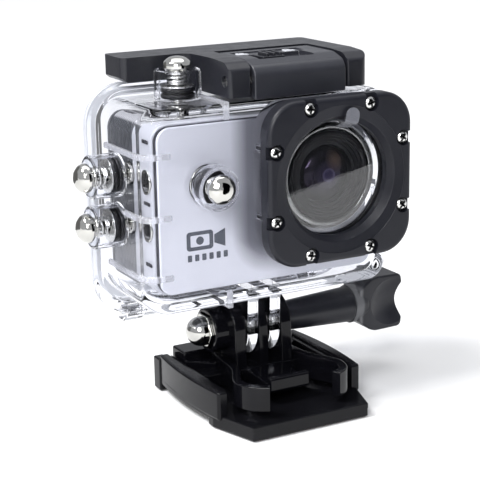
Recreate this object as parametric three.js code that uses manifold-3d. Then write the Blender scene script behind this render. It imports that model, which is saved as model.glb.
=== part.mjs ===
// Action camera in a clear waterproof housing, hanging by two prongs in a quick-release buckle
// that slides into a flat adhesive base. Millimetres, +Z up, the lens looks along -Y.
// The origin is the centre of the adhesive pad's underside. The housing and the camera are
// drawn in the camera's own frame: x = 0 on its middle, y = 0 on its front face, z = 0 on its
// bottom face.
import * as THREE from 'three';
import { mergeVertices } from 'three/addons/utils/BufferGeometryUtils.js';
import Module from 'manifold-3d';

const wasm = await Module();
wasm.setup();

// ---------------------------------------------------------------- driving dimensions
const CAMERA_FRONT_Y = -3.5;
const CAMERA_BOTTOM_Z = 32;
const GAP = 0.3;
const WELD = 1e-4;

const CAMERA = { halfWidth: 29.65, height: 41.1, depth: 24.8, corner: 3.8, wall: 1.6 };
const LENS = { x: 13.34, z: 25.87 };

const BASE = {
  frontHalf: 15.8, half: 19.8, bulge: 21.2, waist: 16.8, front: -23.5, back: 23.5,
  shoulder: -10.5, step: 2.5, foot: 5, cornerCut: 3, padInset: 1.3, recessInset: 1.0,
  padTop: 0.9, recessTop: 1.2, bottom: 0.35, deckBottom: 2.2, deckTop: 3.8,
};
const RAIL = {
  front: -13.5, back: 18.7, inner: 17.5, lip: 16.3, lipFront: -10.3, lipBottom: 8.0,
  lipTop: 9.2, top: 10.0,
  postBack: 21.9, postOut: 20.2, postTop: 8.8, bury: 0.5,
};
const BUCKLE = {
  runnerHalf: 17.2, runnerTop: 7.6, blockHalf: 15.9, blockTop: 9.5, neckHalf: 9.8,
  shoulder: 12.5, top: 11.5, front: 4, back: 19.5, bottom: 4.1, fingerReach: 8,
};
// The left-hand half of the S-shaped spring arms, as [outward, back] points along its middle.
const ARM = {
  path: [[8.8, 9], [9.4, 1], [10.4, -5], [13.0, -10], [13.9, -13.5], [12.4, -17.5], [9.2, -19.6]],
  width: 2.2, bottom: 5.4, top: 11.7, steps: 14,
};
// The release tongue between the arms, as [back, up] points round its side.
const TONGUE = {
  half: 5.4,
  side: [[0, 4.1], [0, 9.4], [-11.4, 8.8], [-11.9, 10.7], [-13.3, 10.7], [-13.5, 7.4], [-12, 6.2]],
};
const PIVOT = { y: 7.0, z: 18.5, bore: 2.65, studRadius: 2.35 };
const PRONG = { pitch: 6.2, thickness: 3.0, radius: 7.5, reach: 8.2, slot: 0.6 };
const FINGER = { middleHalf: 1.3, inner: 4.9, outer: 8.0, radius: 7.4 };
// Distances along the pivot, to the left for the nut and to the right for the knob.
const NUT = {
  boss: 5.6, bossEnd: 12.3, hexRadius: 4.6, hexFit: 0.35, hexStart: 9.7, hexEnd: 13.2,
  domeRadius: 3.7, tip: 17.5, blindRadius: 2.6, blindEnd: 15,
};
const STUD = { left: -14.6, right: 12.3 };
const KNOB = {
  start: 8.4, small: 3.7, large: 4.7, collar: 29, collarRadius: 5, grip: 31.5, end: 43.6,
  span: 7.4, neck: 4.4, thickness: 8.4, scoop: 11, scoopBack: 3.4, scoopOut: 13.2, socket: 12.6,
};

const SHELL = {
  half: 33.7, bottom: -3.48, top: 45, front: -2.97, wall: 2, corner: 5, edge: 4.5,
  cavityHalf: 31.5, cavityBottom: -1.4, cavityTop: 43,
};
const FLANGE = { half: 36.8, bottom: -9.5, top: 48.2, corner: 10, front: 21.8, back: 25.2 };
const RIB = { proud: 0.7, high: 1.4, levels: [5.7, 20, 34.5], back: 18.5, topX: -12.5 };
const PORT = { half: 18.9, corner: 7.5, front: -8.07, bore: 13.9, seat: 16.3, seatBack: -5.1 };
const WINDOW = { radius: 16.0, front: -8.1, back: -6.2 };
const GASKET = { inner: 14.1, outer: 15.9, front: -6.1, back: -5.2 };
const BEZEL = {
  half: 19.8, corner: 8, front: -12.3, back: -8.37, throat: 14, throatDepth: 10, mouth: 15.2,
  mouthDepth: 11.75, dish: 17.8,
};
const SCREW = { reach: 17.5, offset: 8.31, head: 1.5, shank: 0.65, well: 1.95, floor: 10.75, tail: -3.6 };
const FILM = {
  radius: 12.8, front: -8.7, back: -8.45, tabHalf: 1.85, tabRadius: 1.6, tilt: 10,
  tabFront: -12.8, tabBack: -12.6, tabBend: 14.6, tabEnd: 17.3,
};

const DOOR = { half: 36.2, bottom: -7.4, top: 48, corner: 9.5, front: 25.6, back: 31.2, plate: 29.6 };
const HINGE = { y: 29.5, z: -10.8, radius: 2.6, bore: 1.4, pin: 1.1, knuckle: 21.6, ear: 27.2 };
const SEAL = { outer: 34.9, inner: 33.3, front: 25.35, back: 26.7 };

const LATCH = {
  pinY: 0.5, pinZ: 49.7, pin: 1.1, bore: 1.4, top: 54.49, front: -2.0, armBottom: 46,
  barLeft: -28.6, barRight: 27.2, barFront: 18.9, barBack: 30, barBottom: 48.6,
  leftArm: -10.8, leftSlot: -5.0, rightSlot: 21.4, rightArm: 27.2, bridge: 17.5,
};
const BLOCK = {
  left: -4.3, right: 20.7, back: 16, bottom: 45.3, top: 54.3,
  recess: 1.4, recessLeft: -0.6, recessRight: 14.6, recessFront: 2.6, recessBack: 12.6,
};
const LOCK = {
  left: 1.2, right: 7.2, front: 3.4, back: 9.6, top: 54.9,
  ridges: 3, ridgePitch: 1.8, ridgeWidth: 0.8, ridgeInset: 0.6, ridgeStart: 1.2,
};

const TURRET = { bore: 4.3, stemHole: 1.45, stem: 1.15 };
const O_RING = { inner: 1.6, outer: 4.1, groove: 3.4, chamfer: 0.35, from: 0.15, oneLobe: 2 };
const SPRING = { inner: 1.75, outer: 2.45, gap: 0.3, topGap: 0.7 };
const HOLE = 0.3;

// Each push button: where its turret leaves the housing wall, which way it points, its turret
// height and radius, how far its dome stands past the turret, how far its stem reaches in, and
// how high its seal stands in the turret.
const BUTTONS = {
  shutter: {
    at: [-17.4, 12, SHELL.top], out: [0, 0, 1], high: 6.9, radius: 5.6, dome: 3.1, reach: 2.7, seal: 3.1,
  },
  power: {
    at: [-17, SHELL.front, 26.5], out: [0, -1, 0], high: 5.0, radius: 5.3, dome: 3.2, reach: 2.15, seal: 1.5,
  },
  up: {
    at: [-SHELL.half, 12, 28.4], out: [-1, 0, 0], high: 7.4, radius: 5.2, dome: 3.6, reach: 2.8, seal: 3.1,
  },
  down: {
    at: [-SHELL.half, 12, 16.4], out: [-1, 0, 0], high: 7.4, radius: 5.2, dome: 3.6, reach: 2.8, seal: 3.1,
  },
};

// ---------------------------------------------------------------- materials
function finish(color, roughness, metalness, opacity = 1) {
  return new THREE.MeshStandardMaterial({
    color, roughness, metalness, opacity, transparent: opacity < 1,
  });
}

const LOOKS = {
  clear: () => finish(0xe9eef2, 0.05, 0, 0.3),
  glass: () => finish(0xdfe8ee, 0.02, 0, 0.25),
  satinBlack: () => finish(0x2e3038, 0.45, 0),
  baseBlack: () => finish(0x17181b, 0.35, 0),
  glossBlack: () => finish(0x0b0b0d, 0.12, 0),
  chrome: () => finish(0xd9d9d6, 0.08, 1),
  steel: () => finish(0xb5b6b8, 0.3, 1),
  rubber: () => finish(0x111112, 0.6, 0),
  redPad: () => finish(0xb3121d, 0.7, 0),
  silver: () => finish(0xdcddea, 0.4, 0.2),
  darkGrey: () => finish(0x55585e, 0.6, 0),
  lensGlass: () => finish(0x0a0a12, 0.05, 0),
  board: () => finish(0x17462a, 0.5, 0),
  battery: () => finish(0x2a2c30, 0.5, 0),
};

// ---------------------------------------------------------------- solids
// Closed geometry to a manifold solid: shared vertices merged, slivers at poles dropped,
// triangles turned to face out.
function solid(geometry) {
  const bare = geometry.clone();
  bare.deleteAttribute('normal');
  bare.deleteAttribute('uv');
  const welded = mergeVertices(bare, WELD);
  const places = welded.getAttribute('position').array;
  const corners = welded.getIndex().array;
  const kept = [];
  let volume = 0;
  for (let i = 0; i < corners.length; i += 3) {
    const [a, b, c] = [corners[i], corners[i + 1], corners[i + 2]];
    if (a === b || b === c || c === a) continue;
    kept.push(a, b, c);
    const [p, q, r] = [a, b, c].map((k) => new THREE.Vector3().fromArray(places, 3 * k));
    volume += p.dot(q.cross(r));
  }
  if (volume < 0) kept.reverse();
  return new wasm.Manifold(new wasm.Mesh({
    numProp: 3,
    vertProperties: Float32Array.from(places),
    triVerts: Uint32Array.from(kept),
  }));
}

function joined(...solids) {
  return solids.reduce((whole, next) => whole.add(next));
}

function cut(whole, ...tools) {
  return tools.reduce((left, tool) => left.subtract(tool), whole);
}

function faceted(whole) {
  const mesh = whole.getMesh();
  const geometry = new THREE.BufferGeometry();
  geometry.setAttribute('position', new THREE.BufferAttribute(Float32Array.from(mesh.vertProperties), 3));
  geometry.setIndex(new THREE.BufferAttribute(Uint32Array.from(mesh.triVerts), 1));
  geometry.computeVertexNormals();
  return geometry;
}

// An outline swept straight along one axis. The outline's own x and y run along the other two
// axes: (x, y) for 'z', (x, z) for 'y' and (y, z) for 'x'.
function prism(axis, outline, from, to, curveSegments = 3) {
  const geometry = new THREE.ExtrudeGeometry(outline, {
    depth: to - from, bevelEnabled: false, curveSegments,
  });
  if (axis === 'z') geometry.translate(0, 0, from);
  if (axis === 'y') geometry.rotateX(Math.PI / 2).translate(0, to, 0);
  if (axis === 'x') {
    const turn = new THREE.Matrix4().makeBasis(
      new THREE.Vector3(0, 1, 0), new THREE.Vector3(0, 0, 1), new THREE.Vector3(1, 0, 0),
    );
    geometry.applyMatrix4(turn).translate(from, 0, 0);
  }
  return solid(geometry);
}

function box(x0, y0, z0, x1, y1, z1) {
  const geometry = new THREE.BoxGeometry(x1 - x0, y1 - y0, z1 - z0);
  geometry.translate((x0 + x1) / 2, (y0 + y1) / 2, (z0 + z1) / 2);
  return solid(geometry);
}

// A profile of [radius, distance] points turned about an axis that starts at `at` and runs
// along `out`.
function turned(profile, at, out, segments = 20) {
  const points = profile.map(([radius, distance]) => new THREE.Vector2(radius, distance));
  const geometry = new THREE.LatheGeometry(points, segments);
  const turn = new THREE.Quaternion().setFromUnitVectors(
    new THREE.Vector3(0, 1, 0), new THREE.Vector3(...out),
  );
  geometry.applyQuaternion(turn).translate(...at);
  return solid(geometry);
}

function rod(radius, from, to, at, out, segments = 20) {
  return turned([[0, from], [radius, from], [radius, to], [0, to]], at, out, segments);
}

function tube(inner, outer, from, to, at, out, segments = 20) {
  const profile = [[inner, from], [outer, from], [outer, to], [inner, to], [inner, from]];
  return turned(profile, at, out, segments);
}

// ---------------------------------------------------------------- outlines
function polygon(points) {
  return new THREE.Shape(points.map(([a, b]) => new THREE.Vector2(a, b)));
}

function roundedBox(x0, y0, x1, y1, radius) {
  const shape = new THREE.Shape();
  shape.moveTo(x0 + radius, y0);
  shape.lineTo(x1 - radius, y0);
  shape.absarc(x1 - radius, y0 + radius, radius, -Math.PI / 2, 0);
  shape.lineTo(x1, y1 - radius);
  shape.absarc(x1 - radius, y1 - radius, radius, 0, Math.PI / 2);
  shape.lineTo(x0 + radius, y1);
  shape.absarc(x0 + radius, y1 - radius, radius, Math.PI / 2, Math.PI);
  shape.lineTo(x0, y0 + radius);
  shape.absarc(x0 + radius, y0 + radius, radius, Math.PI, 1.5 * Math.PI);
  return shape;
}

function roundedSquare(x, y, half, radius) {
  return roundedBox(x - half, y - half, x + half, y + half, radius);
}

// A round eye of the given radius on a neck that widens to a straight root.
function eyeOnNeck(y, z, radius, rootFront, rootBack, rootZ) {
  const side = Math.sign(rootZ - z);
  const shape = new THREE.Shape();
  shape.moveTo(rootBack, rootZ);
  shape.lineTo(y + radius, z);
  shape.absarc(y, z, radius, 0, Math.PI, side > 0);
  shape.lineTo(rootFront, rootZ);
  return shape;
}

// A band of constant width along a smooth curve through the given points.
function band(points, width, steps) {
  const curve = new THREE.SplineCurve(points.map(([a, b]) => new THREE.Vector2(a, b)));
  const near = [];
  const far = [];
  for (let i = 0; i <= steps; i += 1) {
    const place = curve.getPoint(i / steps);
    const along = curve.getTangent(i / steps);
    const side = new THREE.Vector2(-along.y, along.x).multiplyScalar(width / 2);
    near.push(place.clone().add(side));
    far.unshift(place.clone().sub(side));
  }
  return new THREE.Shape([...near, ...far]);
}

// ---------------------------------------------------------------- scene graph
const assembly = new THREE.Group();
const mount = new THREE.Group();
const housing = new THREE.Group();
housing.position.set(0, CAMERA_FRONT_Y, CAMERA_BOTTOM_Z);
assembly.add(mount, housing);

function piece(group, name, whole, look) {
  const mesh = new THREE.Mesh(faceted(whole), LOOKS[look]());
  mesh.name = name;
  group.add(mesh);
}

// ---------------------------------------------------------------- adhesive base
// The lowest plate is waisted; the deck and the rails bulge out past its waist.
function footOutline(inset = 0) {
  const right = [
    [BASE.frontHalf - inset, BASE.front + inset],
    [BASE.half - inset, BASE.shoulder],
    [BASE.half - inset, BASE.shoulder + BASE.step - inset],
    [BASE.waist - inset, BASE.shoulder + BASE.step - inset],
    [BASE.waist - inset, BASE.back - BASE.foot + inset],
    [BASE.half - inset, BASE.back - BASE.foot + inset],
    [BASE.half - inset, BASE.back - BASE.step],
    [BASE.half - BASE.cornerCut - inset, BASE.back - inset],
  ];
  const left = right.map(([x, y]) => [-x, y]).reverse();
  return polygon([...right, ...left]);
}

function deckOutline() {
  const middle = (RAIL.front + RAIL.back) / 2;
  const pull = 2 * BASE.bulge - BASE.half;
  const shape = new THREE.Shape();
  shape.moveTo(-BASE.frontHalf, BASE.front);
  shape.lineTo(BASE.frontHalf, BASE.front);
  shape.lineTo(BASE.half, BASE.shoulder);
  shape.quadraticCurveTo(pull, middle, BASE.half, RAIL.back);
  shape.lineTo(BASE.half, BASE.back - BASE.step);
  shape.lineTo(BASE.half - BASE.cornerCut, BASE.back);
  shape.lineTo(BASE.cornerCut - BASE.half, BASE.back);
  shape.lineTo(-BASE.half, BASE.back - BASE.step);
  shape.lineTo(-BASE.half, RAIL.back);
  shape.quadraticCurveTo(-pull, middle, -BASE.half, BASE.shoulder);
  return shape;
}

function railSolid(side) {
  const middle = (RAIL.front + RAIL.back) / 2;
  const pull = 2 * BASE.bulge - BASE.half;
  function outline(inner, front) {
    const shape = new THREE.Shape();
    shape.moveTo(side * inner, front);
    shape.lineTo(side * BASE.half, front);
    shape.quadraticCurveTo(side * pull, middle, side * BASE.half, RAIL.back);
    shape.lineTo(side * inner, RAIL.back);
    return shape;
  }
  const wall = prism('z', outline(RAIL.inner, RAIL.front), BASE.deckBottom + RAIL.bury, RAIL.top);
  const lip = prism('z', outline(RAIL.lip, RAIL.lipFront), RAIL.lipBottom, RAIL.lipTop);
  const postX = [RAIL.inner, RAIL.postOut].map((x) => side * x).sort((a, b) => a - b);
  const post = box(
    postX[0], RAIL.back - RAIL.bury, BASE.bottom, postX[1], RAIL.postBack, RAIL.postTop,
  );
  return joined(wall, lip, post);
}

piece(mount, 'adhesive_pad', prism('z', footOutline(BASE.padInset), 0, BASE.padTop), 'redPad');

// The pad sits in a shallow recess under the base and stands a little below the base's rim.
function baseSolid() {
  const whole = joined(
    prism('z', footOutline(), BASE.bottom, BASE.deckTop),
    prism('z', deckOutline(), BASE.deckBottom, BASE.deckTop),
    railSolid(1),
    railSolid(-1),
  );
  return cut(whole, prism('z', footOutline(BASE.recessInset), -1, BASE.recessTop));
}

piece(mount, 'adhesive_base', baseSolid(), 'baseBlack');

// ---------------------------------------------------------------- quick-release buckle
function buckleArm(side) {
  const outline = band(ARM.path.map(([x, y]) => [side * x, y]), ARM.width, ARM.steps);
  return prism('z', outline, ARM.bottom, ARM.top);
}

function buckleFinger(from, to) {
  const { fingerReach, bottom } = BUCKLE;
  const outline = eyeOnNeck(
    PIVOT.y, PIVOT.z, FINGER.radius, PIVOT.y - fingerReach, PIVOT.y + fingerReach, bottom + 2,
  );
  return prism('x', outline, from, to, 7);
}

function buckleSolid() {
  const runner = box(
    -BUCKLE.runnerHalf, BUCKLE.front, BUCKLE.bottom, BUCKLE.runnerHalf, BUCKLE.back, BUCKLE.runnerTop,
  );
  const { blockHalf, neckHalf, back } = BUCKLE;
  const blockOutline = polygon([
    [-blockHalf, back], [-blockHalf, 12], [-neckHalf, 6.5], [-neckHalf, -1],
    [neckHalf, -1], [neckHalf, 6.5], [blockHalf, 12], [blockHalf, back],
  ]);
  const block = prism('z', blockOutline, BUCKLE.bottom, BUCKLE.blockTop);
  const shoulder = box(-blockHalf, BUCKLE.shoulder, BUCKLE.bottom, blockHalf, back, BUCKLE.top);
  const tongue = prism('x', polygon(TONGUE.side), -TONGUE.half, TONGUE.half);
  const boss = rod(NUT.boss, FINGER.outer - 0.5, NUT.bossEnd, [0, PIVOT.y, PIVOT.z], [-1, 0, 0]);
  const solidBody = joined(
    runner, block, shoulder, tongue, boss, buckleArm(1), buckleArm(-1),
    buckleFinger(-FINGER.outer, -FINGER.inner),
    buckleFinger(-FINGER.middleHalf, FINGER.middleHalf),
    buckleFinger(FINGER.inner, FINGER.outer),
  );
  const axisStart = [0, PIVOT.y, PIVOT.z];
  const slotRadius = PRONG.radius + PRONG.slot;
  const slots = [-1, 1].map((side) => rod(
    slotRadius, FINGER.middleHalf, FINGER.inner, axisStart, [side, 0, 0], 24,
  ));
  const bore = rod(PIVOT.bore, -20, 20, axisStart, [1, 0, 0]);
  const pocket = rod(NUT.hexRadius + NUT.hexFit, NUT.hexStart - GAP, 14, axisStart, [-1, 0, 0], 6);
  return cut(solidBody, ...slots, bore, pocket);
}

piece(mount, 'buckle_body', buckleSolid(), 'glossBlack');

// ---------------------------------------------------------------- thumb screw and cap nut
function capNutSolid() {
  const axisStart = [0, PIVOT.y, PIVOT.z];
  const hex = rod(NUT.hexRadius, NUT.hexStart, NUT.hexEnd, axisStart, [-1, 0, 0], 6);
  const dome = turned([
    [0, NUT.hexEnd - 0.6], [NUT.domeRadius, NUT.hexEnd - 0.6], [NUT.domeRadius, NUT.hexEnd + 0.7],
    [3.4, NUT.tip - 2.1], [2.5, NUT.tip - 0.9], [1.3, NUT.tip - 0.2], [0, NUT.tip],
  ], axisStart, [-1, 0, 0]);
  const blind = rod(NUT.blindRadius, 0, NUT.blindEnd, axisStart, [-1, 0, 0]);
  return cut(joined(hex, dome), blind);
}

function knobSolid() {
  const axisStart = [0, PIVOT.y, PIVOT.z];
  const { grip, end, span, neck } = KNOB;
  const stem = turned([
    [0, KNOB.start], [KNOB.small, KNOB.start], [KNOB.large, KNOB.collar],
    [KNOB.collarRadius, KNOB.collar], [KNOB.collarRadius, grip], [neck, grip + 2], [0, grip + 2],
  ], axisStart, [1, 0, 0], 20);
  const wing = new THREE.Shape();
  wing.moveTo(grip - 1, -neck);
  wing.quadraticCurveTo(grip + 3, -span, grip + 6, -span);
  wing.lineTo(end - 1.5, -span + 0.2);
  wing.quadraticCurveTo(end, -span + 0.4, end, -5.4);
  wing.quadraticCurveTo(end - 2.9, 0, end, 5.4);
  wing.quadraticCurveTo(end, span - 0.4, end - 1.5, span - 0.2);
  wing.lineTo(grip + 6, span);
  wing.quadraticCurveTo(grip + 3, span, grip - 1, neck);
  const lobes = prism('y', wing, -KNOB.thickness / 2, KNOB.thickness / 2, 4);
  const scoops = [-1, 1].map((side) => {
    const ball = new THREE.SphereGeometry(KNOB.scoop, 20, 14);
    return solid(ball.translate(end - KNOB.scoopBack, side * KNOB.scoopOut, 0));
  });
  const handle = cut(lobes, ...scoops).translate([0, PIVOT.y, PIVOT.z]);
  const socket = rod(PIVOT.studRadius + GAP, 0, KNOB.socket, axisStart, [1, 0, 0]);
  return cut(joined(stem, handle), socket);
}

piece(mount, 'cap_nut', capNutSolid(), 'chrome');
piece(mount, 'thumb_screw_stud', rod(
  PIVOT.studRadius, STUD.left, STUD.right, [0, PIVOT.y, PIVOT.z], [1, 0, 0],
), 'steel');
piece(mount, 'thumb_screw_knob', knobSolid(), 'satinBlack');

// ---------------------------------------------------------------- push buttons
function turretSolid({ at, out, high, radius }) {
  return rod(radius, -1, high, at, out);
}

function turretBore({ at, out, high }) {
  return turned([
    [0, -4], [TURRET.stemHole, -4], [TURRET.stemHole, 0], [TURRET.bore, 0],
    [TURRET.bore, high + 1], [0, high + 1],
  ], at, out);
}

function plungerSolid({ at, out, high, dome, reach }) {
  return turned([
    [0, -reach], [TURRET.stem, -reach], [TURRET.stem, high - 0.4], [2.9, high - 0.1],
    [3.5, high + 0.6], [3.5, high + 1.3], [2.8, high + 0.75 * dome], [1.5, high + 0.95 * dome],
    [0, high + dome],
  ], at, out);
}

// A tall seal has two lobes with a groove between them, and a short one has a single lobe.
function oRingSolid({ at, out, seal }) {
  const { inner, outer, groove, chamfer, from } = O_RING;
  const middle = (from + seal) / 2;
  const grooved = [
    [outer, middle - 2 * chamfer], [groove, middle - chamfer / 2],
    [groove, middle + chamfer / 2], [outer, middle + 2 * chamfer],
  ];
  return turned([
    [inner, from], [outer - chamfer, from], [outer, from + chamfer],
    ...(seal > O_RING.oneLobe ? grooved : []),
    [outer, seal - chamfer], [outer - chamfer, seal], [inner, seal], [inner, from],
  ], at, out, 16);
}

for (const [name, button] of Object.entries(BUTTONS)) {
  const { at, out, high, seal } = button;
  piece(housing, `${name}_plunger`, plungerSolid(button), 'chrome');
  piece(housing, `${name}_spring`, tube(
    SPRING.inner, SPRING.outer, seal + SPRING.gap, high - SPRING.topGap, at, out, 12,
  ), 'steel');
  piece(housing, `${name}_o_ring`, oRingSolid(button), 'rubber');
}

// ---------------------------------------------------------------- clear housing
function shellBlock() {
  const face = roundedBox(-SHELL.half, SHELL.bottom, SHELL.half, SHELL.top, SHELL.corner);
  const back = FLANGE.front + 1;
  const side = new THREE.Shape();
  side.moveTo(SHELL.front + 1.6, SHELL.bottom);
  side.lineTo(back, SHELL.bottom);
  side.lineTo(back, SHELL.top);
  side.lineTo(SHELL.front + 1.6, SHELL.top);
  side.quadraticCurveTo(SHELL.front, SHELL.top, SHELL.front, SHELL.top - 1.6);
  side.lineTo(SHELL.front, SHELL.bottom + 1.6);
  side.quadraticCurveTo(SHELL.front, SHELL.bottom, SHELL.front + 1.6, SHELL.bottom);
  const plan = new THREE.Shape();
  plan.moveTo(SHELL.half, back);
  plan.lineTo(-SHELL.half, back);
  plan.lineTo(-SHELL.half, SHELL.front + SHELL.edge);
  plan.absarc(
    SHELL.edge - SHELL.half, SHELL.front + SHELL.edge, SHELL.edge, Math.PI, 1.5 * Math.PI,
  );
  plan.absarc(
    SHELL.half - SHELL.edge, SHELL.front + SHELL.edge, SHELL.edge, 1.5 * Math.PI, 2 * Math.PI,
  );
  const tall = [SHELL.bottom, SHELL.top];
  return prism('y', face, SHELL.front, back)
    .intersect(prism('x', side, -SHELL.half, SHELL.half, 4))
    .intersect(prism('z', plan, ...tall));
}

// Side ribs wrap the front corners; a rib over the top and one under the bottom wrap the
// front edges.
function ribSolids() {
  const out = SHELL.half + RIB.proud;
  const front = SHELL.front - RIB.proud;
  const plan = new THREE.Shape();
  plan.moveTo(out, RIB.back);
  plan.lineTo(SHELL.half - 1, RIB.back);
  plan.lineTo(SHELL.half - 1, SHELL.front + SHELL.edge);
  plan.lineTo(SHELL.half - SHELL.edge, SHELL.front + 1);
  plan.lineTo(27, SHELL.front + 1);
  plan.lineTo(27, front);
  plan.lineTo(SHELL.half - SHELL.edge, front);
  plan.absarc(SHELL.half - SHELL.edge, SHELL.front + SHELL.edge, SHELL.edge + RIB.proud, -Math.PI / 2, 0);
  const ribs = [];
  for (const level of RIB.levels) {
    const right = prism('z', plan, level - RIB.high / 2, level + RIB.high / 2);
    ribs.push(right, right.mirror([1, 0, 0]));
  }
  const half = RIB.high / 2;
  ribs.push(
    box(RIB.topX - half, front, 40.5, RIB.topX + half, FLANGE.front + 0.5, SHELL.top + 0.2),
    box(RIB.topX - half, front, SHELL.bottom - 0.5, RIB.topX + half, FLANGE.front + 0.5, 0.5),
  );
  return ribs;
}

function hingeEars() {
  const outline = new THREE.Shape();
  outline.moveTo(FLANGE.front + 0.5, FLANGE.bottom + 1.5);
  outline.lineTo(FLANGE.front + 0.5, FLANGE.bottom + 0.2);
  outline.lineTo(HINGE.y - 1.2, HINGE.z - HINGE.radius + 0.3);
  outline.absarc(HINGE.y, HINGE.z, HINGE.radius, -0.65 * Math.PI, 0.5 * Math.PI);
  outline.lineTo(FLANGE.back, FLANGE.bottom + 1.5);
  const right = prism('x', outline, HINGE.knuckle + 0.4, HINGE.ear, 5);
  return joined(right, right.mirror([1, 0, 0]));
}

function prongSolids() {
  const y = PIVOT.y - CAMERA_FRONT_Y;
  const z = PIVOT.z - CAMERA_BOTTOM_Z;
  const outline = eyeOnNeck(
    y, z, PRONG.radius, y - PRONG.reach, y + PRONG.reach, SHELL.bottom + 1,
  );
  return [-1, 1].map((side) => {
    const middle = side * PRONG.pitch / 2;
    return prism('x', outline, middle - PRONG.thickness / 2, middle + PRONG.thickness / 2, 7);
  });
}

function screwPlaces() {
  const { reach, offset } = SCREW;
  const places = [];
  for (const side of [-1, 1]) {
    for (const shift of [-1, 1]) {
      places.push([LENS.x + shift * offset, LENS.z + side * reach]);
      places.push([LENS.x + side * reach, LENS.z + shift * offset]);
    }
  }
  return places;
}

function housingSolid() {
  const port = prism(
    'y', roundedSquare(LENS.x, LENS.z, PORT.half, PORT.corner), PORT.front, SHELL.front + 1,
  );
  const flange = prism(
    'y', roundedBox(-FLANGE.half, FLANGE.bottom, FLANGE.half, FLANGE.top, FLANGE.corner),
    FLANGE.front, FLANGE.back,
  );
  const cavity = box(
    -SHELL.cavityHalf, SHELL.front + SHELL.wall, SHELL.cavityBottom,
    SHELL.cavityHalf, FLANGE.back + 1, SHELL.cavityTop,
  );
  const lensHole = turned([
    [0, 0], [PORT.bore, 0], [PORT.bore, -PORT.seatBack], [PORT.seat, -PORT.seatBack],
    [PORT.seat, 12], [0, 12],
  ], [LENS.x, 0, LENS.z], [0, -1, 0], 32);
  const screwHoles = screwPlaces().map(([x, z]) => rod(
    SCREW.shank + 0.2, -SCREW.tail - 0.3, 12, [x, 0, z], [0, -1, 0], 8,
  ));
  const axisStart = [0, PIVOT.y - CAMERA_FRONT_Y, PIVOT.z - CAMERA_BOTTOM_Z];
  const hingeStart = [0, HINGE.y, HINGE.z];
  const buttons = Object.values(BUTTONS);
  const outside = joined(
    shellBlock(), port, flange, hingeEars(), ...ribSolids(), ...prongSolids(),
    ...buttons.map(turretSolid),
  );
  return cut(
    outside, cavity, lensHole, ...screwHoles, ...buttons.map(turretBore),
    rod(PIVOT.bore, -20, 20, axisStart, [1, 0, 0]),
    rod(HINGE.bore, -40, 40, hingeStart, [1, 0, 0], 16),
  );
}

piece(housing, 'housing_shell', housingSolid(), 'clear');

// ---------------------------------------------------------------- lens port
const lensAxis = [LENS.x, 0, LENS.z];
piece(housing, 'lens_window', rod(
  WINDOW.radius, -WINDOW.back, -WINDOW.front, lensAxis, [0, -1, 0], 32,
), 'glass');
piece(housing, 'lens_gasket', tube(
  GASKET.inner, GASKET.outer, -GASKET.back, -GASKET.front, lensAxis, [0, -1, 0], 32,
), 'rubber');

function bezelSolid() {
  const plate = prism(
    'y', roundedSquare(LENS.x, LENS.z, BEZEL.half, BEZEL.corner), BEZEL.front, BEZEL.back,
  );
  const opening = turned([
    [0, 8], [BEZEL.throat, 8], [BEZEL.throat, BEZEL.throatDepth], [BEZEL.mouth, BEZEL.mouthDepth],
    [BEZEL.dish, -BEZEL.front], [BEZEL.dish, 13], [0, 13],
  ], lensAxis, [0, -1, 0], 32);
  const wells = screwPlaces().map(([x, z]) => turned([
    [0, 8], [SCREW.shank + 0.2, 8], [SCREW.shank + 0.2, SCREW.floor], [SCREW.well, SCREW.floor],
    [SCREW.well, 13], [0, 13],
  ], [x, 0, z], [0, -1, 0], 12));
  return cut(plate, opening, ...wells);
}

piece(housing, 'lens_bezel', bezelSolid(), 'satinBlack');

screwPlaces().forEach(([x, z], index) => {
  const seat = SCREW.floor + 0.2;
  const screw = turned([
    [0, -SCREW.tail], [SCREW.shank, -SCREW.tail], [SCREW.shank, seat], [SCREW.head, seat],
    [SCREW.head, seat + 0.6], [1.0, seat + 1.05], [0, seat + 1.2],
  ], [x, 0, z], [0, -1, 0], 10);
  piece(housing, `bezel_screw_${index + 1}`, screw, 'steel');
});

function filmSolid() {
  const disc = rod(FILM.radius, -FILM.back, -FILM.front, [0, 0, 0], [0, -1, 0], 24);
  const { radius, tabHalf, tabEnd, tabBend } = FILM;
  const strip = prism('x', polygon([
    [FILM.back, radius - 1], [FILM.front, radius - 1.4], [FILM.tabFront, tabBend],
    [FILM.tabFront, tabEnd], [FILM.tabBack, tabEnd], [FILM.tabBack, tabBend + 0.1],
  ]), -tabHalf, tabHalf);
  const ends = prism('y', roundedBox(-tabHalf, 8, tabHalf, tabEnd, FILM.tabRadius), -14, -8);
  const tilted = joined(disc, strip.intersect(ends)).rotate([0, FILM.tilt, 0]);
  return tilted.translate([LENS.x, 0, LENS.z]);
}

piece(housing, 'protective_film', filmSolid(), 'clear');

// ---------------------------------------------------------------- rear door
function doorSolid() {
  const plate = prism(
    'y', roundedBox(-DOOR.half, DOOR.bottom, DOOR.half, DOOR.top, DOOR.corner), DOOR.front, DOOR.back,
  );
  const pocket = box(
    -SHELL.cavityHalf, DOOR.front - 1, SHELL.cavityBottom, SHELL.cavityHalf, DOOR.plate, SHELL.cavityTop,
  );
  const knuckle = rod(HINGE.radius, -HINGE.knuckle, HINGE.knuckle, [0, HINGE.y, HINGE.z], [1, 0, 0]);
  const web = box(-HINGE.knuckle, HINGE.y - 1.6, HINGE.z, HINGE.knuckle, HINGE.y + 1.7, DOOR.bottom + 1);
  const groove = sealRing(SEAL.outer + GAP, SEAL.inner - GAP, SEAL.front - 1, SEAL.back + GAP);
  const bore = rod(HINGE.bore, -40, 40, [0, HINGE.y, HINGE.z], [1, 0, 0], 16);
  return cut(joined(plate, knuckle, web), pocket, groove, bore);
}

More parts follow.
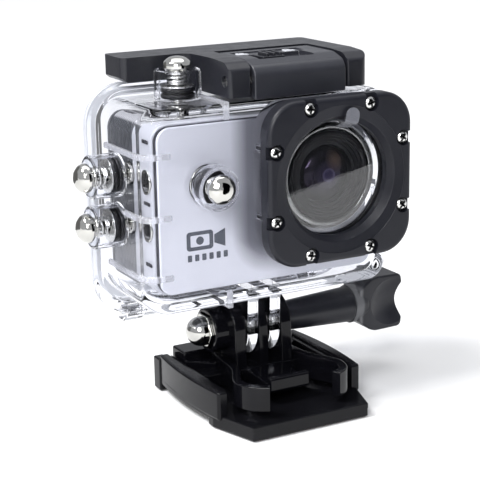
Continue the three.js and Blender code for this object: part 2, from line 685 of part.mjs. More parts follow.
function sealRing(outer, inner, from, to) {
  const middle = (DOOR.top + DOOR.bottom) / 2;
  const tallOuter = (DOOR.top - DOOR.bottom) / 2 - (DOOR.half - outer);
  const tallInner = tallOuter - (outer - inner);
  const ring = prism('y', roundedBox(-outer, middle - tallOuter, outer, middle + tallOuter, 8), from, to);
  return cut(ring, prism(
    'y', roundedBox(-inner, middle - tallInner, inner, middle + tallInner, 7), from - 1, to + 1,
  ));
}

piece(housing, 'rear_door', doorSolid(), 'clear');
piece(housing, 'door_gasket', sealRing(SEAL.outer, SEAL.inner, SEAL.front, SEAL.back), 'rubber');
piece(housing, 'door_hinge_pin', rod(
  HINGE.pin, -HINGE.ear + 0.1, HINGE.ear - 0.1, [0, HINGE.y, HINGE.z], [1, 0, 0], 16,
), 'steel');

// ---------------------------------------------------------------- top latch
function leverSolid() {
  const armPlan = new THREE.Shape();
  armPlan.moveTo(LATCH.leftArm + 1, LATCH.front);
  armPlan.lineTo(LATCH.leftSlot, LATCH.front);
  armPlan.lineTo(LATCH.leftSlot, LATCH.bridge);
  armPlan.lineTo(LATCH.rightSlot, LATCH.bridge);
  armPlan.lineTo(LATCH.rightSlot, LATCH.front);
  armPlan.lineTo(LATCH.rightArm - 3, LATCH.front);
  armPlan.quadraticCurveTo(LATCH.rightArm, LATCH.front, LATCH.rightArm, LATCH.front + 3);
  armPlan.lineTo(LATCH.rightArm, LATCH.barFront + 2);
  armPlan.lineTo(LATCH.leftArm - 4.4, LATCH.barFront + 2);
  armPlan.lineTo(LATCH.leftArm - 4.4, LATCH.barFront);
  armPlan.quadraticCurveTo(LATCH.leftArm - 0.6, LATCH.barFront - 0.3, LATCH.leftArm - 0.1, 14.5);
  armPlan.lineTo(LATCH.leftArm, LATCH.front + 1);
  const arms = prism('z', armPlan, LATCH.armBottom, LATCH.top);
  const under = box(-40, FLANGE.front - 0.8, 40, 40, 40, LATCH.barBottom);
  const bar = prism('z', roundedBox(
    LATCH.barLeft, LATCH.barFront, LATCH.barRight, LATCH.barBack, 1.5,
  ), LATCH.barBottom, LATCH.top);
  const front = polygon([
    [LATCH.front, LATCH.armBottom - 1], [LATCH.front, 52.6], [-1.2, 53.6], [0.6, 54.1], [6, LATCH.top + 0.1],
    [32, LATCH.top + 0.1], [32, LATCH.armBottom - 1],
  ]);
  const side = prism('x', front, -40, 40);
  const left = polygon([
    [LATCH.barLeft - 1, LATCH.barBottom + 1.8], [LATCH.barLeft + 2.2, LATCH.barBottom - 0.5],
    [LATCH.barLeft - 1, LATCH.barBottom - 0.5],
  ]);
  const bore = rod(LATCH.bore, -40, 40, [0, LATCH.pinY, LATCH.pinZ], [1, 0, 0], 16);
  return cut(joined(arms, bar).intersect(side), under, prism('y', left, 10, 40), bore);
}

function blockSolid() {
  const profile = new THREE.Shape();
  profile.moveTo(BLOCK.back, BLOCK.bottom);
  profile.lineTo(BLOCK.back, BLOCK.top);
  profile.lineTo(3, BLOCK.top - 0.3);
  profile.quadraticCurveTo(LATCH.front - 0.1, BLOCK.top - 0.9, LATCH.front - 0.4, BLOCK.top - 4.2);
  profile.lineTo(LATCH.front - 0.2, BLOCK.bottom);
  const body = prism('x', profile, BLOCK.left, BLOCK.right);
  const recess = box(
    BLOCK.recessLeft, BLOCK.recessFront, BLOCK.top - BLOCK.recess,
    BLOCK.recessRight, BLOCK.recessBack, BLOCK.top + 1,
  );
  const bore = rod(LATCH.bore, -40, 40, [0, LATCH.pinY, LATCH.pinZ], [1, 0, 0], 16);
  return cut(body, recess, bore);
}

function lockSolid() {
  const floor = BLOCK.top - BLOCK.recess + 0.2;
  const plate = box(LOCK.left, LOCK.front, floor, LOCK.right, LOCK.back, BLOCK.top - 0.1);
  const { ridgeInset, ridgeWidth, front, back } = LOCK;
  const ridges = [];
  for (let step = 0; step < LOCK.ridges; step += 1) {
    const x = LOCK.left + LOCK.ridgeStart + LOCK.ridgePitch * step;
    ridges.push(box(
      x, front + ridgeInset, BLOCK.top - 0.4, x + ridgeWidth, back - ridgeInset, LOCK.top,
    ));
  }
  return joined(plate, ...ridges);
}

piece(housing, 'latch_lever', leverSolid(), 'satinBlack');
piece(housing, 'latch_hinge_block', blockSolid(), 'satinBlack');
piece(housing, 'latch_pin', rod(
  LATCH.pin, LATCH.leftArm + 0.6, LATCH.rightArm - 0.6, [0, LATCH.pinY, LATCH.pinZ], [1, 0, 0], 16,
), 'steel');
piece(housing, 'latch_lock', lockSolid(), 'satinBlack');

// ---------------------------------------------------------------- camera body
function cameraOutline(inset, radius) {
  return roundedBox(
    inset - CAMERA.halfWidth, inset, CAMERA.halfWidth - inset, CAMERA.height - inset, radius,
  );
}

// Where each camera button stands: on its plunger's axis, just under the plunger's stem.
function cameraButton(name, radius, depth) {
  const { at, out, reach } = BUTTONS[name];
  const top = -reach - GAP;
  return rod(radius, top - depth, top, at, out);
}

const BUTTON_PLUG = { radius: 2.6, depth: 2.2 };
const BATTERY_HATCH = { x0: -26, x1: 4, y0: 7, y1: 20 };

function cameraBodySolid() {
  const outside = prism('y', cameraOutline(0, CAMERA.corner), 1.9, 23.0);
  const inside = prism('y', cameraOutline(CAMERA.wall, CAMERA.corner - CAMERA.wall), 1, 24);
  const holes = ['shutter', 'up', 'down'].map((name) => cameraButton(
    name, BUTTON_PLUG.radius + HOLE, 2 * BUTTON_PLUG.depth,
  ));
  const hatch = box(BATTERY_HATCH.x0, BATTERY_HATCH.y0, -1, BATTERY_HATCH.x1, BATTERY_HATCH.y1, 3);
  return cut(outside, inside, ...holes, hatch);
}

function frontPanelSolid() {
  const plate = prism('y', cameraOutline(0.35, CAMERA.corner - 0.35), 0, 1.6);
  const lensHole = rod(11.1, -2, 2, lensAxis, [0, -1, 0], 28);
  const [buttonX, , buttonZ] = BUTTONS.power.at;
  const buttonHole = rod(BUTTON_PLUG.radius + HOLE, -3, 3, [buttonX, 0, buttonZ], [0, 1, 0]);
  return cut(plate, lensHole, buttonHole);
}

const SCREEN = { x0: -21, x1: 21, z0: 5, z1: 36 };

function cameraBackSolid() {
  const plate = prism('y', cameraOutline(0, CAMERA.corner), 23.3, CAMERA.depth);
  return cut(plate, box(SCREEN.x0, 23, SCREEN.z0, SCREEN.x1, 26, SCREEN.z1));
}

piece(housing, 'camera_body', cameraBodySolid(), 'darkGrey');
piece(housing, 'front_panel', frontPanelSolid(), 'silver');
piece(housing, 'camera_back', cameraBackSolid(), 'darkGrey');
piece(housing, 'screen_panel', box(
  SCREEN.x0 + GAP, 23.5, SCREEN.z0 + GAP, SCREEN.x1 - GAP, 24.6, SCREEN.z1 - GAP,
), 'lensGlass');

for (const name of Object.keys(BUTTONS)) {
  const plug = cameraButton(name, BUTTON_PLUG.radius, BUTTON_PLUG.depth);
  piece(housing, `camera_${name}_button`, plug, 'chrome');
}

piece(housing, 'battery_hatch', box(
  BATTERY_HATCH.x0 + GAP, BATTERY_HATCH.y0 + GAP, 0.1,
  BATTERY_HATCH.x1 - GAP, BATTERY_HATCH.y1 - GAP, CAMERA.wall,
), 'darkGrey');

// ---------------------------------------------------------------- camera lens and electronics
piece(housing, 'lens_trim_ring', turned([
  [11.2, 0.3], [13.3, 0.3], [13.3, 4.6], [12.4, 5.6], [11.2, 5.6], [11.2, 0.3],
], lensAxis, [0, -1, 0], 28), 'chrome');
piece(housing, 'lens_ring', turned([
  [7.3, -1.6], [10.8, -1.6], [10.8, 5.4], [10.2, 5.9], [8.4, 5.4], [7.3, 4.8], [7.3, -1.6],
], lensAxis, [0, -1, 0], 28), 'satinBlack');
piece(housing, 'lens_element', turned([
  [0, -0.2], [6.8, -0.2], [6.8, 3.4], [5.6, 4.4], [3.6, 5.2], [1.8, 5.5], [0, 5.6],
], lensAxis, [0, -1, 0], 24), 'lensGlass');
piece(housing, 'lens_barrel', tube(
  4.5, 6.9, -14.6, -0.5, lensAxis, [0, -1, 0], 20,
), 'satinBlack');
piece(housing, 'sensor_board', box(3.5, 15.0, 14.5, 24, 16.4, 37), 'board');
piece(housing, 'main_board', box(-26, 20.6, 3, 26, 22.2, 38), 'board');
piece(housing, 'battery', box(-25.5, 8.5, 2.4, 3.0, 18.3, 32.4), 'battery');
piece(housing, 'memory_card', box(10, 18.6, 3.5, 21, 19.6, 18.5), 'satinBlack');

export default assembly;
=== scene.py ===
from math import atan2, copysign, cos, pi, radians, sin, sqrt, tan

import bmesh
import bpy
from mathutils import Matrix, Vector


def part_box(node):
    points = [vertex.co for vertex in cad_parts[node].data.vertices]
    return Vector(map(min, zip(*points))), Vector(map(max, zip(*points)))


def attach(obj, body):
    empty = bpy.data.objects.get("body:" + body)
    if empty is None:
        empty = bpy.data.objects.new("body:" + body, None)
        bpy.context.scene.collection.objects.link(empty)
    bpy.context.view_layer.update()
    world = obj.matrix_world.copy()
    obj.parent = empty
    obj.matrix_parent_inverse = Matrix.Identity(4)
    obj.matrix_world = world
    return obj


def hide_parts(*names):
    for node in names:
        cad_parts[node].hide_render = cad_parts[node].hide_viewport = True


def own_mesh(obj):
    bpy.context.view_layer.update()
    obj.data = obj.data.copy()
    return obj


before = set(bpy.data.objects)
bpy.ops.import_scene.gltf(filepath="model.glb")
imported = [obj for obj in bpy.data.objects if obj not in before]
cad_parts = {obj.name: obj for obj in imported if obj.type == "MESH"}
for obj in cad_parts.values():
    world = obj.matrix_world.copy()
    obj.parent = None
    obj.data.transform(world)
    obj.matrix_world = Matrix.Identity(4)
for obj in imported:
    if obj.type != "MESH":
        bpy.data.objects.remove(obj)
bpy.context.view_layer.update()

MM = 0.001
TINY = 1e-6
STEPS = 8
SMOOTH_ANGLE = radians(34)
UP, RIGHT, LEFT, AHEAD = (0, 0, 1), (1, 0, 0), (-1, 0, 0), (0, -1, 0)

# ---- places taken from the frame
camera_low, camera_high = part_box("camera_body")
window_low, window_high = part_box("lens_window")
stud_low, stud_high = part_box("thumb_screw_stud")

MOUNT = Vector((0, 0, 0))
CAMERA = Vector(((camera_low.x + camera_high.x) / 2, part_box("front_panel")[0].y, camera_low.z))
LENS = ((window_low + window_high) / 2 - CAMERA) / MM
LX, LZ = LENS.x, LENS.z
AXIS = (LX, 0, LZ)
PIVOT = (stud_low + stud_high) / 2 / MM
PY, PZ = PIVOT.y, PIVOT.z
HUB = (0, PY, PZ)


# ---- mesh helpers
def linked(obj):
    bpy.context.scene.collection.objects.link(obj)
    return obj


def new_object(bm):
    bmesh.ops.recalc_face_normals(bm, faces=bm.faces)
    mesh = bpy.data.meshes.new("part")
    bm.to_mesh(mesh)
    bm.free()
    return linked(bpy.data.objects.new("part", mesh))


def rounded(corners, steps=STEPS):
    """A closed outline through (u, v, radius) corners, each corner turned by its radius."""
    straight = 1.55
    most = 0.499
    outline = []
    count = len(corners)
    for index, corner in enumerate(corners):
        here = Vector(corner[:2])
        radius = corner[2] if len(corner) > 2 else 0
        before = Vector(corners[index - 1][:2]) - here
        after = Vector(corners[(index + 1) % count][:2]) - here
        half = before.angle(after) / 2
        if not radius or half > straight:
            outline.append(tuple(here))
            continue
        reach = min(radius / tan(half), most * before.length, most * after.length)
        radius = reach * tan(half)
        middle = (before.normalized() + after.normalized()).normalized()
        centre = here + middle * (radius / sin(half))
        start = here + before.normalized() * reach - centre
        end = here + after.normalized() * reach - centre
        sweep_angle = atan2(start.x * end.y - start.y * end.x, start.dot(end))
        for step in range(steps + 1):
            turn = sweep_angle * step / steps
            outline.append((
                centre.x + start.x * cos(turn) - start.y * sin(turn),
                centre.y + start.x * sin(turn) + start.y * cos(turn),
            ))
    return outline


def box_outline(u0, v0, u1, v1, radius, steps=STEPS):
    return rounded([(u0, v0, radius), (u1, v0, radius), (u1, v1, radius), (u0, v1, radius)], steps)


def middle_outline(half, low, high, radius, steps=STEPS):
    """A rounded box that is as wide to the left of the camera's middle as to the right."""
    return box_outline(-half, low, half, high, radius, steps)


def port_outline(half, radius, steps=STEPS):
    """A rounded square about the lens."""
    return box_outline(LX - half, LZ - half, LX + half, LZ + half, radius, steps)


def ring_of(count):
    """The angles of the points of a closed ring."""
    return [2 * pi * k / count for k in range(count)]


def skin(sections):
    """A closed skin over sections that have the same number of points, with flat ends."""
    bm = bmesh.new()
    rings = [[bm.verts.new(point) for point in section] for section in sections]
    bm.faces.new(rings[0])
    bm.faces.new(rings[-1][::-1])
    for ring, after in zip(rings, rings[1:]):
        for i in range(len(ring)):
            j = (i + 1) % len(ring)
            bm.faces.new((ring[i], ring[j], after[j], after[i]))
    return bm, rings


def loft(sections):
    return new_object(skin(sections)[0])


def round_edges(bm, edges, width, segments):
    bmesh.ops.bevel(
        bm, geom=edges, offset=width, offset_type="OFFSET", segments=segments, profile=0.5,
        affect="EDGES", clamp_overlap=True,
    )


def prism(axis, outline, start, stop, bevel=0, bevel_steps=3, ends=(True, True)):
    """An outline swept along an axis, with the rims of its two ends rounded by `bevel`."""
    place = {
        "x": lambda u, v, along: (along, u, v),
        "y": lambda u, v, along: (u, along, v),
        "z": lambda u, v, along: (u, v, along),
    }[axis]
    bm, rings = skin([[place(u, v, along) for u, v in outline] for along in (start, stop)])
    bmesh.ops.recalc_face_normals(bm, faces=bm.faces)
    if bevel:
        rims = []
        for ring, wanted in zip(rings, ends):
            if wanted:
                members = set(ring)
                rims += [e for e in bm.edges if e.verts[0] in members and e.verts[1] in members]
        round_edges(bm, rims, bevel, bevel_steps)
    return new_object(bm)


def block(x0, y0, z0, x1, y1, z1, bevel=0):
    """A box with all of its edges rounded."""
    bm = bmesh.new()
    bmesh.ops.create_cube(bm, size=1)
    scale = Matrix.Diagonal((x1 - x0, y1 - y0, z1 - z0, 1))
    shift = Matrix.Translation(((x0 + x1) / 2, (y0 + y1) / 2, (z0 + z1) / 2))
    bmesh.ops.transform(bm, matrix=shift @ scale, verts=bm.verts)
    if bevel:
        round_edges(bm, bm.edges[:], bevel, 3)
    return new_object(bm)


def lathe(profile, at, out, segments=96, steps=4):
    """A closed (radius, height, rounding) profile turned about an axis from `at` along `out`."""
    turn = Vector(out).to_track_quat("Z", "Y").to_matrix()
    bm = bmesh.new()
    rings = []
    for radius, height in rounded(profile, steps):
        angles = ring_of(segments) if radius > TINY else [0]
        rings.append([
            bm.verts.new(Vector(at) + turn @ Vector((radius * cos(a), radius * sin(a), height)))
            for a in angles
        ])
    for index, ring in enumerate(rings):
        after = rings[(index + 1) % len(rings)]
        if len(ring) == 1 and len(after) == 1:
            continue
        for k in range(segments):
            j = (k + 1) % segments
            if len(ring) == 1:
                bm.faces.new((ring[0], after[j], after[k]))
            elif len(after) == 1:
                bm.faces.new((ring[k], ring[j], after[0]))
            else:
                bm.faces.new((ring[k], ring[j], after[j], after[k]))
    return new_object(bm)


def rod(radius, start, stop, at, out, bevel=0, segments=96):
    return lathe([(0, start), (radius, start, bevel), (radius, stop, bevel), (0, stop)], at, out, segments)


def sweep(points, radius, sides):
    """A round wire along a list of points, its section carried on without twist."""
    sections = []
    side = None
    for index, here in enumerate(points):
        along = (points[min(index + 1, len(points) - 1)] - points[max(index - 1, 0)]).normalized()
        if side is None:
            side = along.orthogonal().normalized()
        side = (side - along * side.dot(along)).normalized()
        other = along.cross(side)
        sections.append([
            here + (side * cos(angle) + other * sin(angle)) * radius for angle in ring_of(sides)
        ])
    return loft(sections)


def bake(obj):
    graph = bpy.context.evaluated_depsgraph_get()
    mesh = bpy.data.meshes.new_from_object(obj.evaluated_get(graph))
    obj.modifiers.clear()
    obj.data = mesh
    return obj


def combine(base, tools, operation):
    for tool in tools:
        modifier = base.modifiers.new("boolean", "BOOLEAN")
        modifier.object = tool
        modifier.operation = operation
        modifier.solver = "MANIFOLD"
    bake(base)
    for tool in tools:
        bpy.data.objects.remove(tool)
    return base


def joined(base, *tools):
    return combine(base, tools, "UNION")


def cut(base, *tools):
    return combine(base, tools, "DIFFERENCE")


def common(base, *tools):
    return combine(base, tools, "INTERSECT")


def softened(obj, width, segments, angle):
    """The edges that turn by more than `angle` degrees, rounded by `width`."""
    modifier = obj.modifiers.new("bevel", "BEVEL")
    modifier.width = width
    modifier.segments = segments
    modifier.limit_method = "ANGLE"
    modifier.angle_limit = radians(angle)
    modifier.use_clamp_overlap = True
    return bake(obj)


def group(*objects):
    """Several separate solids kept as one object."""
    bm = bmesh.new()
    for obj in objects:
        bm.from_mesh(obj.data)
        bpy.data.objects.remove(obj)
    return new_object(bm)


def moved(obj, matrix):
    obj.data.transform(matrix)
    return obj


def mirrored(obj):
    copy = linked(obj.copy())
    copy.data = obj.data.copy()
    copy.data.transform(Matrix.Diagonal((-1, 1, 1, 1)))
    copy.data.flip_normals()
    return copy


def piece(obj, name, slot, material, *nodes, body="housing", origin=CAMERA):
    """Names a finished shape, places it and tells the frame what it rides on and stands for."""
    obj.name = name
    obj.data.name = name
    obj.data.transform(Matrix.Translation(origin) @ Matrix.Scale(MM, 4))
    obj.data.materials.clear()
    obj.data.materials.append(material)
    obj.data.polygons.foreach_set("use_smooth", [True] * len(obj.data.polygons))
    obj.data.set_sharp_from_angle(angle=SMOOTH_ANGLE)
    modifier = obj.modifiers.new("normals", "WEIGHTED_NORMAL")
    modifier.keep_sharp = True
    bake(obj)
    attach(obj, body)
    if nodes:
        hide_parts(*nodes)
    return obj


# ---- material helpers
class Nodes:
    """A material's node tree with short calls for the nodes that every material uses."""

    def __init__(self, name):
        self.material = bpy.data.materials.new(name)
        self.material.use_nodes = True
        self.tree = self.material.node_tree
        self.tree.nodes.clear()
        self.coordinates = self.new("TexCoord").outputs["Object"]
        self.shader = self.new("BsdfPrincipled")
        self.output = self.new("OutputMaterial")
        self.link(self.shader.outputs[0], self.output.inputs["Surface"])

    def new(self, kind):
        return self.tree.nodes.new("ShaderNode" + kind)

    def link(self, source, target):
        self.tree.links.new(source, target)

    def set(self, **values):
        for key, value in values.items():
            self.shader.inputs[key.replace("_", " ")].default_value = value

    def base(self, colour):
        self.link(colour, self.shader.inputs["Base Color"])

    def rough(self, pattern, low, high, start=0.3, stop=0.7):
        self.link(self.span(pattern, start, stop, low, high), self.shader.inputs["Roughness"])

    def fed(self, kind, socket, source, **values):
        """A node with `source` at one socket and plain values at others."""
        node = self.new(kind)
        for key, value in values.items():
            node.inputs[key.replace("_", " ")].default_value = value
        self.link(source, node.inputs[socket])
        return node

    def stretched(self, scale):
        return self.fed("Mapping", "Vector", self.coordinates, Scale=scale).outputs["Vector"]

    def noise(self, scale, detail=3.0, roughness=0.5, vector=None):
        vector = vector or self.coordinates
        node = self.fed("TexNoise", "Vector", vector, Scale=scale, Detail=detail, Roughness=roughness)
        return node.outputs["Fac"]

    def cells(self, scale):
        return self.fed("TexVoronoi", "Vector", self.coordinates, Scale=scale).outputs["Distance"]

    def waves(self, scale, distortion):
        node = self.fed("TexWave", "Vector", self.coordinates, Scale=scale, Distortion=distortion)
        node.wave_profile = "TRI"
        return node.outputs["Fac"]

    def axis(self, name, origin=0.0):
        """A coordinate in metres, counted from `origin`."""
        node = self.fed("SeparateXYZ", 0, self.coordinates)
        return self.math("SUBTRACT", node.outputs[name], origin) if origin else node.outputs[name]

    def math(self, operation, *values):
        node = self.new("Math")
        node.operation = operation
        for socket, value in zip(node.inputs, values):
            if isinstance(value, (int, float)):
                socket.default_value = value
            else:
                self.link(value, socket)
        return node.outputs[0]

    def length(self, a, b):
        return self.math("SQRT", self.math("ADD", self.math("POWER", a, 2), self.math("POWER", b, 2)))

    def span(self, value, low, high, to_low, to_high):
        limits = dict(From_Min=low, From_Max=high, To_Min=to_low, To_Max=to_high)
        return self.fed("MapRange", "Value", value, **limits).outputs["Result"]

    def colours(self, value, *stops):
        node = self.fed("ValToRGB", "Fac", value)
        ramp = node.color_ramp
        while len(ramp.elements) < len(stops):
            ramp.elements.new(0.5)
        for element, (position, colour) in zip(ramp.elements, stops):
            element.position = position
            element.color = (*colour, 1)
        return node.outputs["Color"]

    def blend(self, value, dark, light, start=0.3, stop=0.7):
        return self.colours(value, (start, dark), (stop, light))

    def mixed(self, fac, a, b):
        node = self.fed("Mix", "Factor", fac)
        node.data_type = "RGBA"
        colour_inputs = [s for s in node.inputs if s.type == "RGBA"]
        for socket, value in zip(colour_inputs, (a, b)):
            if isinstance(value, tuple):
                socket.default_value = (*value, 1)
            else:
                self.link(value, socket)
        return [s for s in node.outputs if s.type == "RGBA"][0]

    def bump(self, height, strength, distance):
        node = self.fed("Bump", "Height", height, Strength=strength, Distance=distance)
        self.link(node.outputs[0], self.shader.inputs["Normal"])

    def see_through_shadow(self, tint):
        """Light and shade pass the clear body, so that what stands inside is lit."""
        clear_body = self.new("BsdfTransparent")
        clear_body.inputs["Color"].default_value = (*tint, 1)
        path = self.new("LightPath")
        either = self.math("MAXIMUM", path.outputs["Is Shadow Ray"], path.outputs["Is Diffuse Ray"])
        mix = self.new("MixShader")
        for source, socket in zip((either, self.shader.outputs[0], clear_body.outputs[0]), mix.inputs):
            self.link(source, socket)
        self.link(mix.outputs[0], self.output.inputs["Surface"])


GRAIN_DEPTH, SCRATCH_DEPTH, WAVE_DEPTH = 0.00003, 0.00002, 0.0002


def moulded(name, dark, light, rough, grain_scale=5200, grain=0.12, specular=0.5):
    """Moulded plastic: a fine grain, slow colour drift and patches of different polish."""
    n = Nodes(name)
    n.base(n.blend(n.noise(90, 4, 0.6), dark, light))
    n.rough(n.noise(420, 5, 0.65), *rough)
    n.bump(n.noise(grain_scale, 2, 0.6), grain, GRAIN_DEPTH)
    n.set(Specular_IOR_Level=specular)
    return n.material


def metal(name, dark, light, rough, scratch, stretch=(1, 1, 1)):
    """Metal: drawn or turned marks along one direction and faint smudges."""
    n = Nodes(name)
    n.base(n.blend(n.noise(300), dark, light))
    n.rough(n.noise(500, 4, 0.6), *rough)
    n.bump(n.noise(2600, 4, 0.6, n.stretched(stretch)), scratch, SCRATCH_DEPTH)
    n.set(Metallic=1.0)
    return n.material


def clear(name, tint, rough, index, wave, shadow, milk=0.0):
    """Clear body: faint flow waves from moulding, a few smudges and a polished outer face."""
    n = Nodes(name)
    n.base(n.blend(n.noise(60, 2), tint, tuple(min(1, c * 1.01) for c in tint)))
    n.rough(n.noise(350, 4, 0.6), *rough, 0.35, 0.75)
    n.bump(n.noise(130, 2, 0.4), wave, 2 * WAVE_DEPTH)
    n.set(Transmission_Weight=1.0 - milk, IOR=index)
    n.see_through_shadow(shadow)
    return n.material


def screw_steel():
    """Bright screw heads with painted shade in the cross."""
    n = Nodes("screw_steel")
    cross_floor, cross_rim = CAMERA.y - 0.01172, CAMERA.y - 0.01160
    cross_shade = n.span(n.axis("Y"), cross_floor, cross_rim, 0.0, 1.0)
    bright = n.blend(n.noise(300), (0.60, 0.60, 0.59), (0.78, 0.78, 0.76))
    # painted shade: the cross in each head is coloured near black towards its floor
    n.base(n.mixed(cross_shade, bright, (0.015, 0.015, 0.017)))
    n.rough(cross_shade, 0.2, 0.7, 0, 1)
    n.bump(n.noise(2600, 4, 0.6), 0.05, SCRATCH_DEPTH)
    n.set(Metallic=1.0)
    return n.material


def knob_plastic():
    """Satin black, with a painted sheen on the collar before the grip."""
    n = Nodes("knob_black")
    black, white = (0, 0, 0), (1, 1, 1)
    plain = n.blend(n.noise(90, 4, 0.6), (0.011, 0.0115, 0.0155), (0.015, 0.0155, 0.021))
    edge = n.math("ADD", n.axis("X"), n.span(n.noise(240), 0.3, 0.7, -0.0002, 0.0002))
    along = n.span(edge, 0.028, 0.034, 0, 1)
    # painted sheen: the collar before the grip is coloured paler, as if lit
    collar = n.colours(along, (0.12, black), (0.22, white), (0.50, white), (0.62, black))
    n.base(n.mixed(collar, plain, (0.11, 0.112, 0.12)))
    n.rough(n.noise(420, 5, 0.65), 0.28, 0.4)
    n.bump(n.noise(4600, 2, 0.6), 0.06, GRAIN_DEPTH)
    n.set(Specular_IOR_Level=0.35)
    return n.material


def shade_by_port(n):
    """How much the lens port keeps light off the panel: most under its wall, none a few mm away."""
    flat_half, corner, reach, most = 0.0135, 0.0055, 0.0045, 0.8
    past = []
    for name, middle in (("X", CAMERA.x + LX * MM), ("Z", CAMERA.z + LZ * MM)):
        away = n.math("ABSOLUTE", n.axis(name, middle))
        past.append(n.math("MAXIMUM", n.math("SUBTRACT", away, flat_half), 0.0))
    return n.span(n.math("SUBTRACT", n.length(*past), corner), 0.0, reach, most, 0.0)


def silver_paint():
    n = Nodes("silver_paint")
    flake = n.cells(7000)
    colour = n.blend(n.noise(70, 3, 0.5), (0.60, 0.607, 0.663), (0.635, 0.642, 0.70), 0.35, 0.65)
    sparkle = n.blend(flake, (0.74, 0.748, 0.80), (0.63, 0.637, 0.695), 0.1, 0.6)
    painted = n.mixed(n.span(n.noise(2500, 2), 0.45, 0.7, 0.0, 0.5), colour, sparkle)
    n.base(n.mixed(shade_by_port(n), painted, (0.10, 0.10, 0.125)))
    n.rough(n.noise(600, 4, 0.6), 0.34, 0.44)
    n.bump(flake, 0.05, SCRATCH_DEPTH)
    n.set(Metallic=0.25, Coat_Weight=0.3, Coat_Roughness=0.15)
    return n.material


def ridged_grey():
    """Dark grey side moulding that grows paler towards its foot and along its top."""
    n = Nodes("ridged_grey")
    foot, head = camera_low.z + 0.004, camera_low.z + 0.036
    height = n.math("ADD", n.span(n.axis("Z"), foot, head, 0, 1), n.span(n.noise(160, 4), 0, 1, -0.08, 0.08))
    colour = n.colours(
        height, (0.0, (0.15, 0.153, 0.17)), (0.45, (0.065, 0.068, 0.078)), (1.0, (0.034, 0.037, 0.045)),
    )
    top = n.span(n.axis("Z"), camera_high.z - 0.0012, camera_high.z - 0.0008, 0, 1)
    n.base(n.mixed(top, colour, (0.42, 0.42, 0.44)))
    n.rough(n.noise(500), 0.42, 0.55)
    n.bump(n.noise(3800, 2), 0.12, GRAIN_DEPTH)
    return n.material


def film():
    """Nearly invisible over the glass, milky where the tab bends away from it."""
    n = Nodes("clear_film")
    n.base(n.blend(n.noise(160), (0.17, 0.175, 0.20), (0.21, 0.215, 0.24)))
    n.rough(n.noise(400), 0.12, 0.28)
    bent, flat = CAMERA.y - 0.0090, CAMERA.y - 0.0087
    body = n.span(n.axis("Y"), bent, flat, 0.62, 0.015)
    patchy = n.math("MULTIPLY", body, n.span(n.noise(220), 0.3, 0.7, 0.9, 1.05))
    n.link(patchy, n.shader.inputs["Alpha"])
    n.bump(n.noise(90, 2), 0.1, 0.0003)
    n.set(Specular_IOR_Level=0.15)
    return n.material


def lens_coating():
    """Dark lens glass with painted reflections: a purple eye with a pale ring in its middle, and a brown
    highlight up and to the right of it.
    """
    n = Nodes("coated_glass")
    x, z = n.axis("X", CAMERA.x + LX * MM), n.axis("Z", CAMERA.z + LZ * MM)
    radius = n.math("ADD", n.length(x, z), n.span(n.noise(300, 2), 0, 1, -0.0001, 0.0001))
    # painted reflection: purple rings and a pale ring round the glass's middle
    eye_reflection = n.colours(
        n.span(radius, 0, 0.007, 0, 1),
        (0.0, (0.010, 0.008, 0.018)), (0.16, (0.018, 0.014, 0.036)), (0.22, (0.05, 0.045, 0.08)),
        (0.26, (0.008, 0.006, 0.014)), (0.40, (0.012, 0.010, 0.018)), (0.52, (0.004, 0.0035, 0.006)),
        (1.0, (0.0025, 0.0025, 0.003)),
    )
    # painted highlight: a brown patch up and to the right of the middle
    brown_highlight = n.length(n.math("SUBTRACT", x, 0.0022), n.math("SUBTRACT", z, 0.0034))
    n.base(n.mixed(n.span(brown_highlight, 0.0, 0.0030, 0.6, 0.0), eye_reflection, (0.075, 0.050, 0.036)))
    n.rough(n.noise(300), 0.03, 0.08)
    n.bump(n.noise(80, 1), 0.005, WAVE_DEPTH)
    n.set(Specular_IOR_Level=0.2, Specular_Tint=(0.75, 0.62, 1.0, 1))
    return n.material


def foam_pad():
    n = Nodes("red_foam")
    pores = n.cells(2600)
    n.base(n.blend(pores, (0.30, 0.006, 0.012), (0.55, 0.015, 0.025), 0.05, 0.5))
    n.rough(n.noise(900), 0.55, 0.75)
    n.bump(pores, 0.3, 0.0001)
    return n.material


def circuit_board():
    n = Nodes("circuit_board")
    tracks = n.waves(500, 3.0)
    n.base(n.blend(tracks, (0.006, 0.05, 0.02), (0.02, 0.13, 0.05), 0.42, 0.5))
    n.rough(n.cells(700), 0.3, 0.5, 0.1, 0.6)
    n.bump(tracks, 0.2, 0.00004)
    return n.material


def battery_wrap():
    n = Nodes("battery_wrap")
    along = n.span(n.axis("X"), -0.026, 0.004, 0, 1)
    n.base(n.blend(along, (0.02, 0.03, 0.06), (0.5, 0.5, 0.5), 0.2, 0.22))
    n.rough(n.noise(300), 0.25, 0.4)
    n.bump(n.noise(150), 0.1, WAVE_DEPTH)
    return n.material


def display_glass():
    n = Nodes("display_glass")
    n.base(n.blend(n.noise(200), (0.004, 0.004, 0.005), (0.008, 0.008, 0.010)))
    n.rough(n.noise(260, 5, 0.65), 0.02, 0.12, 0.35, 0.7)
    n.bump(n.noise(60, 1), 0.01, WAVE_DEPTH)
    n.set(Coat_Weight=0.6, Coat_Roughness=0.03)
    return n.material


